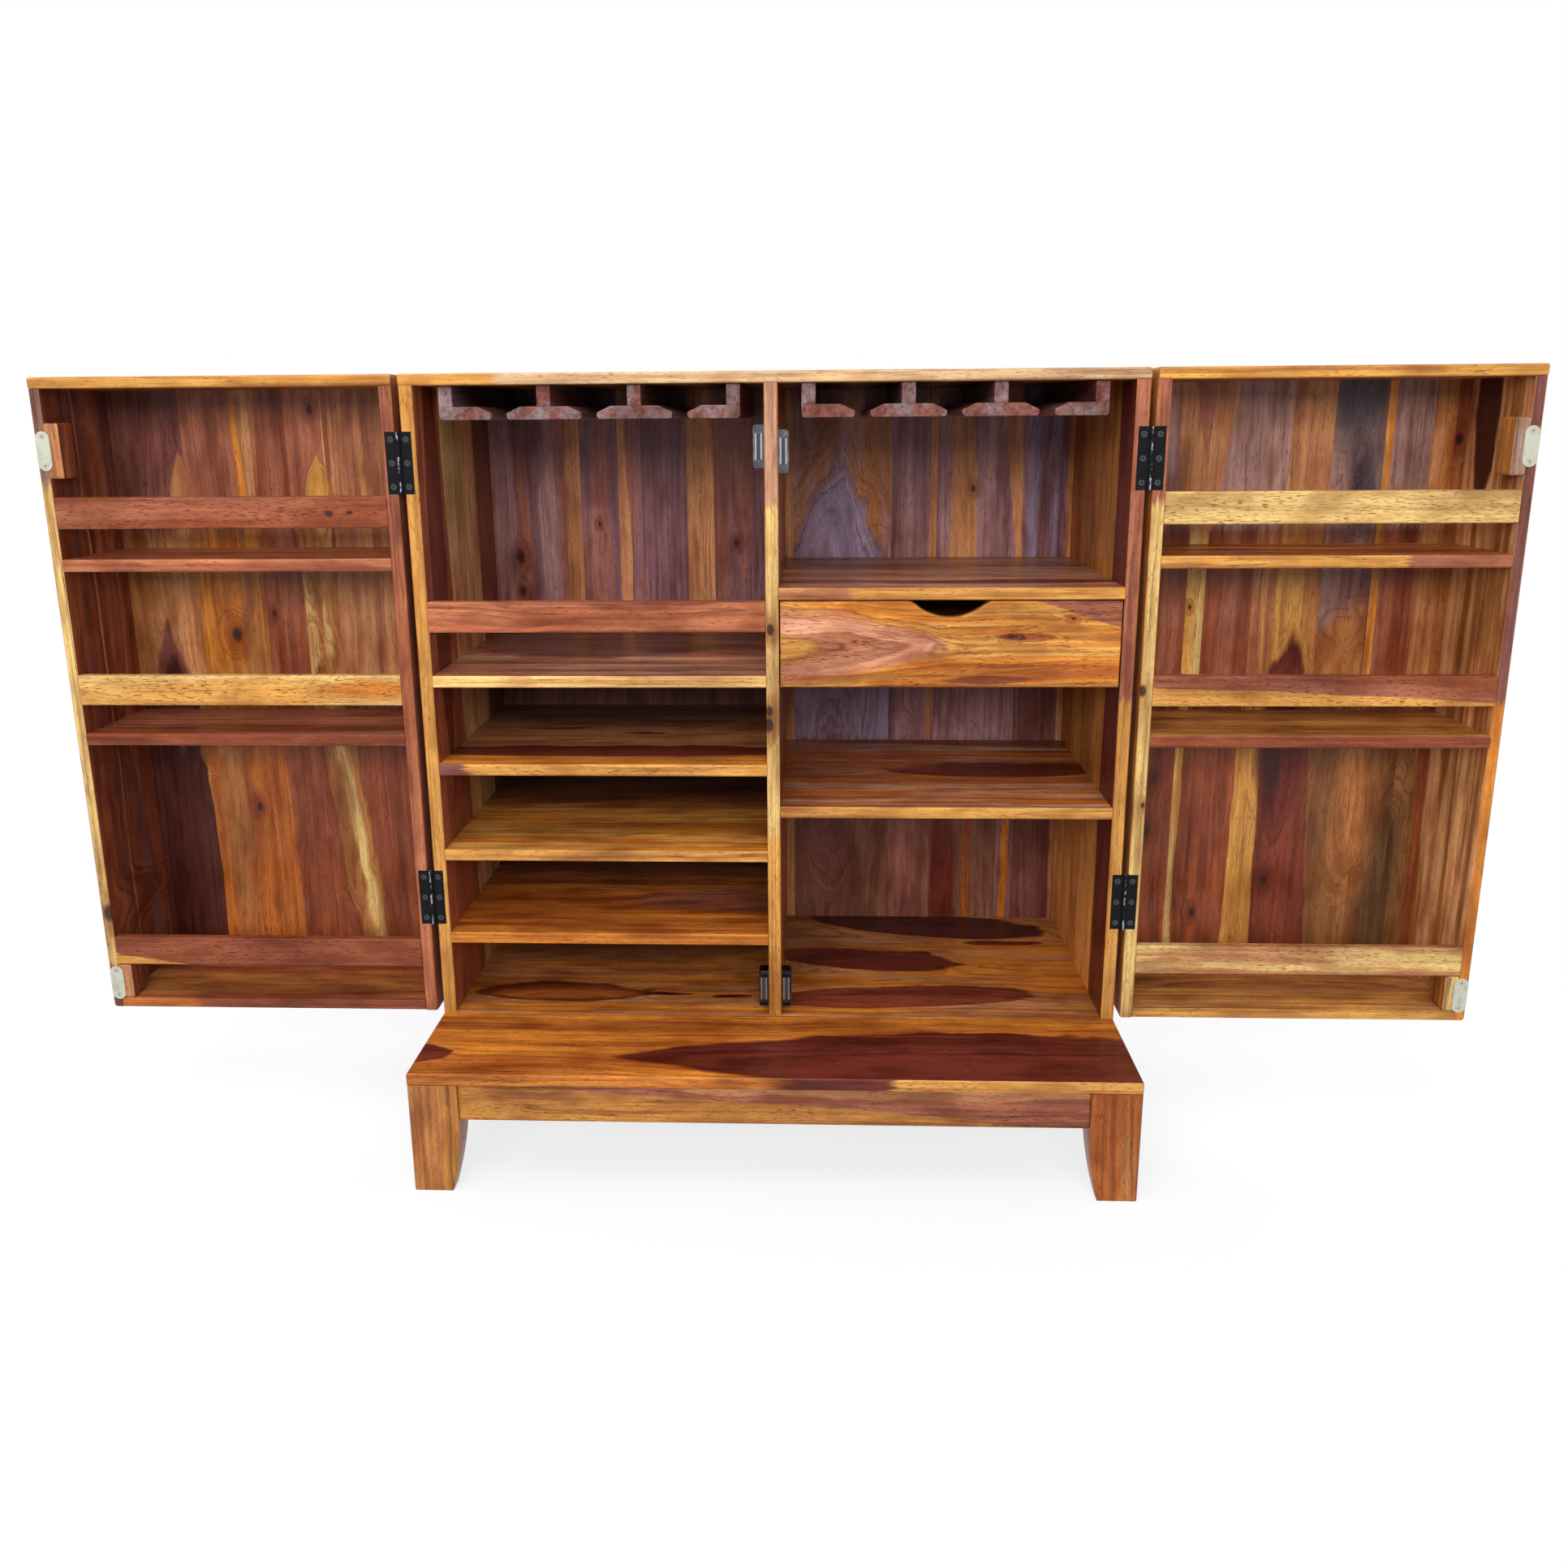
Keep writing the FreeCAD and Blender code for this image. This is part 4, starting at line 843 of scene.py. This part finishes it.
# Stage: white floor that keeps the shadow near the cabinet, white surroundings and soft lamps
WORLD_LIGHT = 0.22
WORLD_TINT = (0.75, 1.0, 1.6)
LAMP_COLOUR = (1.0, 0.97, 0.93)
FLOOR_REACH = 30.0
FLOOR_SEEN = (0.88, 0.90, 0.94)
FLOOR_BOUNCE = (0.5, 0.5, 0.5)
FLOOR_OVAL = 1.6
FLOOR_FADE = (0.7, 1.7)
FLOOR_GLOW = 0.75


def camera_sees(tree):
    """1 for rays that come from the camera or by way of a mirror or glass."""
    path = tree.nodes.new("ShaderNodeLightPath")
    seen = Value(tree, path.outputs["Is Camera Ray"])
    for key in ("Is Glossy Ray", "Is Transmission Ray"):
        seen = seen.math("MAXIMUM", Value(tree, path.outputs[key]))
    return seen


def make_floor():
    mesh = bpy.data.meshes.new("floor")
    corners = [(x * FLOOR_REACH, y * FLOOR_REACH, 0) for x, y in ((-1, -1), (1, -1), (1, 1), (-1, 1))]
    mesh.from_pydata(corners, [], [(0, 1, 2, 3)])
    floor = bpy.data.objects.new("floor", mesh)
    bpy.context.scene.collection.objects.link(floor)
    material, tree, shader = new_material("floor_white")
    seen = camera_sees(tree)
    tree.links.new(seen.between(FLOOR_BOUNCE, FLOOR_SEEN).socket, shader.inputs["Base Color"])
    shader.inputs["Roughness"].default_value = 0.9
    place = position(tree)
    far = place["X"].hypot(place["Y"] * FLOOR_OVAL).rise(*FLOOR_FADE)
    glow = tree.nodes.new("ShaderNodeEmission")
    mix = tree.nodes.new("ShaderNodeMixShader")
    tree.links.new((seen * (far * (1.0 - FLOOR_GLOW) + FLOOR_GLOW)).socket, mix.inputs["Fac"])
    tree.links.new(shader.outputs["BSDF"], mix.inputs[1])
    tree.links.new(glow.outputs["Emission"], mix.inputs[2])
    tree.links.new(mix.outputs["Shader"], tree.nodes["Material Output"].inputs["Surface"])
    mesh.materials.append(material)


def make_world():
    world = bpy.data.worlds.new("studio")
    bpy.context.scene.world = world
    world.use_nodes = True
    tree = world.node_tree
    sky = tree.nodes["Background"]
    seen = camera_sees(tree)
    strength = seen * (1.0 - WORLD_LIGHT) + WORLD_LIGHT
    tree.links.new(strength.socket, sky.inputs["Strength"])
    tree.links.new(seen.between(WORLD_TINT, (1.0, 1.0, 1.0)).socket, sky.inputs["Color"])


def lamp(name, at, aim, size, power, mirrored=True):
    """Soft rectangular lamp; one that is not mirrored leaves no sheen of its own."""
    light = bpy.data.lights.new(name, "AREA")
    light.shape = "RECTANGLE"
    light.size, light.size_y = size
    light.energy = power
    light.color = LAMP_COLOUR
    obj = bpy.data.objects.new(name, light)
    obj.visible_glossy = mirrored
    obj.location = at
    obj.rotation_euler = (Vector(aim) - Vector(at)).to_track_quat("-Z", "Y").to_euler()
    bpy.context.scene.collection.objects.link(obj)


def make_camera():
    data = bpy.data.cameras.new("camera")
    data.sensor_width = SENSOR * 1000
    data.lens = FOCAL_PX / PHOTO_SIDE * SENSOR * 1000
    data.shift_x = (PHOTO_SIDE / 2 - CENTRE_PX[0]) / PHOTO_SIDE
    data.shift_y = (CENTRE_PX[1] - PHOTO_SIDE / 2) / PHOTO_SIDE
    forward = Vector((math.sin(CAMERA_YAW) * math.cos(CAMERA_PITCH),
                      math.cos(CAMERA_YAW) * math.cos(CAMERA_PITCH), math.sin(CAMERA_PITCH)))
    right = Vector((math.cos(CAMERA_YAW), -math.sin(CAMERA_YAW), 0.0))
    up = right.cross(forward)
    tilted = right * math.cos(CAMERA_ROLL) + up * math.sin(CAMERA_ROLL)
    turn = Matrix((tilted, tilted.cross(forward), -forward)).transposed()
    camera = bpy.data.objects.new("camera", data)
    camera.matrix_world = Matrix.Translation(CAMERA_AT) @ turn.to_4x4()
    bpy.context.scene.collection.objects.link(camera)
    bpy.context.scene.camera = camera


make_floor()
make_world()
make_camera()
lamp("front", (-0.3, -3.6, 2.0), (0.0, 0.0, 0.6), (4.6, 1.2), 140, mirrored=False)
lamp("behind", (0.4, 3.4, 2.1), (0.0, 0.0, 0.6), (4.6, 1.2), 120, mirrored=False)
for side in (-1, 1):
    lamp("side", (3.4 * side, 0.9, 1.9), (0.0, 0.05, 0.5), (2.4, 1.2), 50, mirrored=False)
lamp("above", (-0.4, -1.1, 2.6), (0.0, -0.1, 0.4), (2.6, 1.4), 42)
bpy.context.scene.view_settings.view_transform = "Standard"
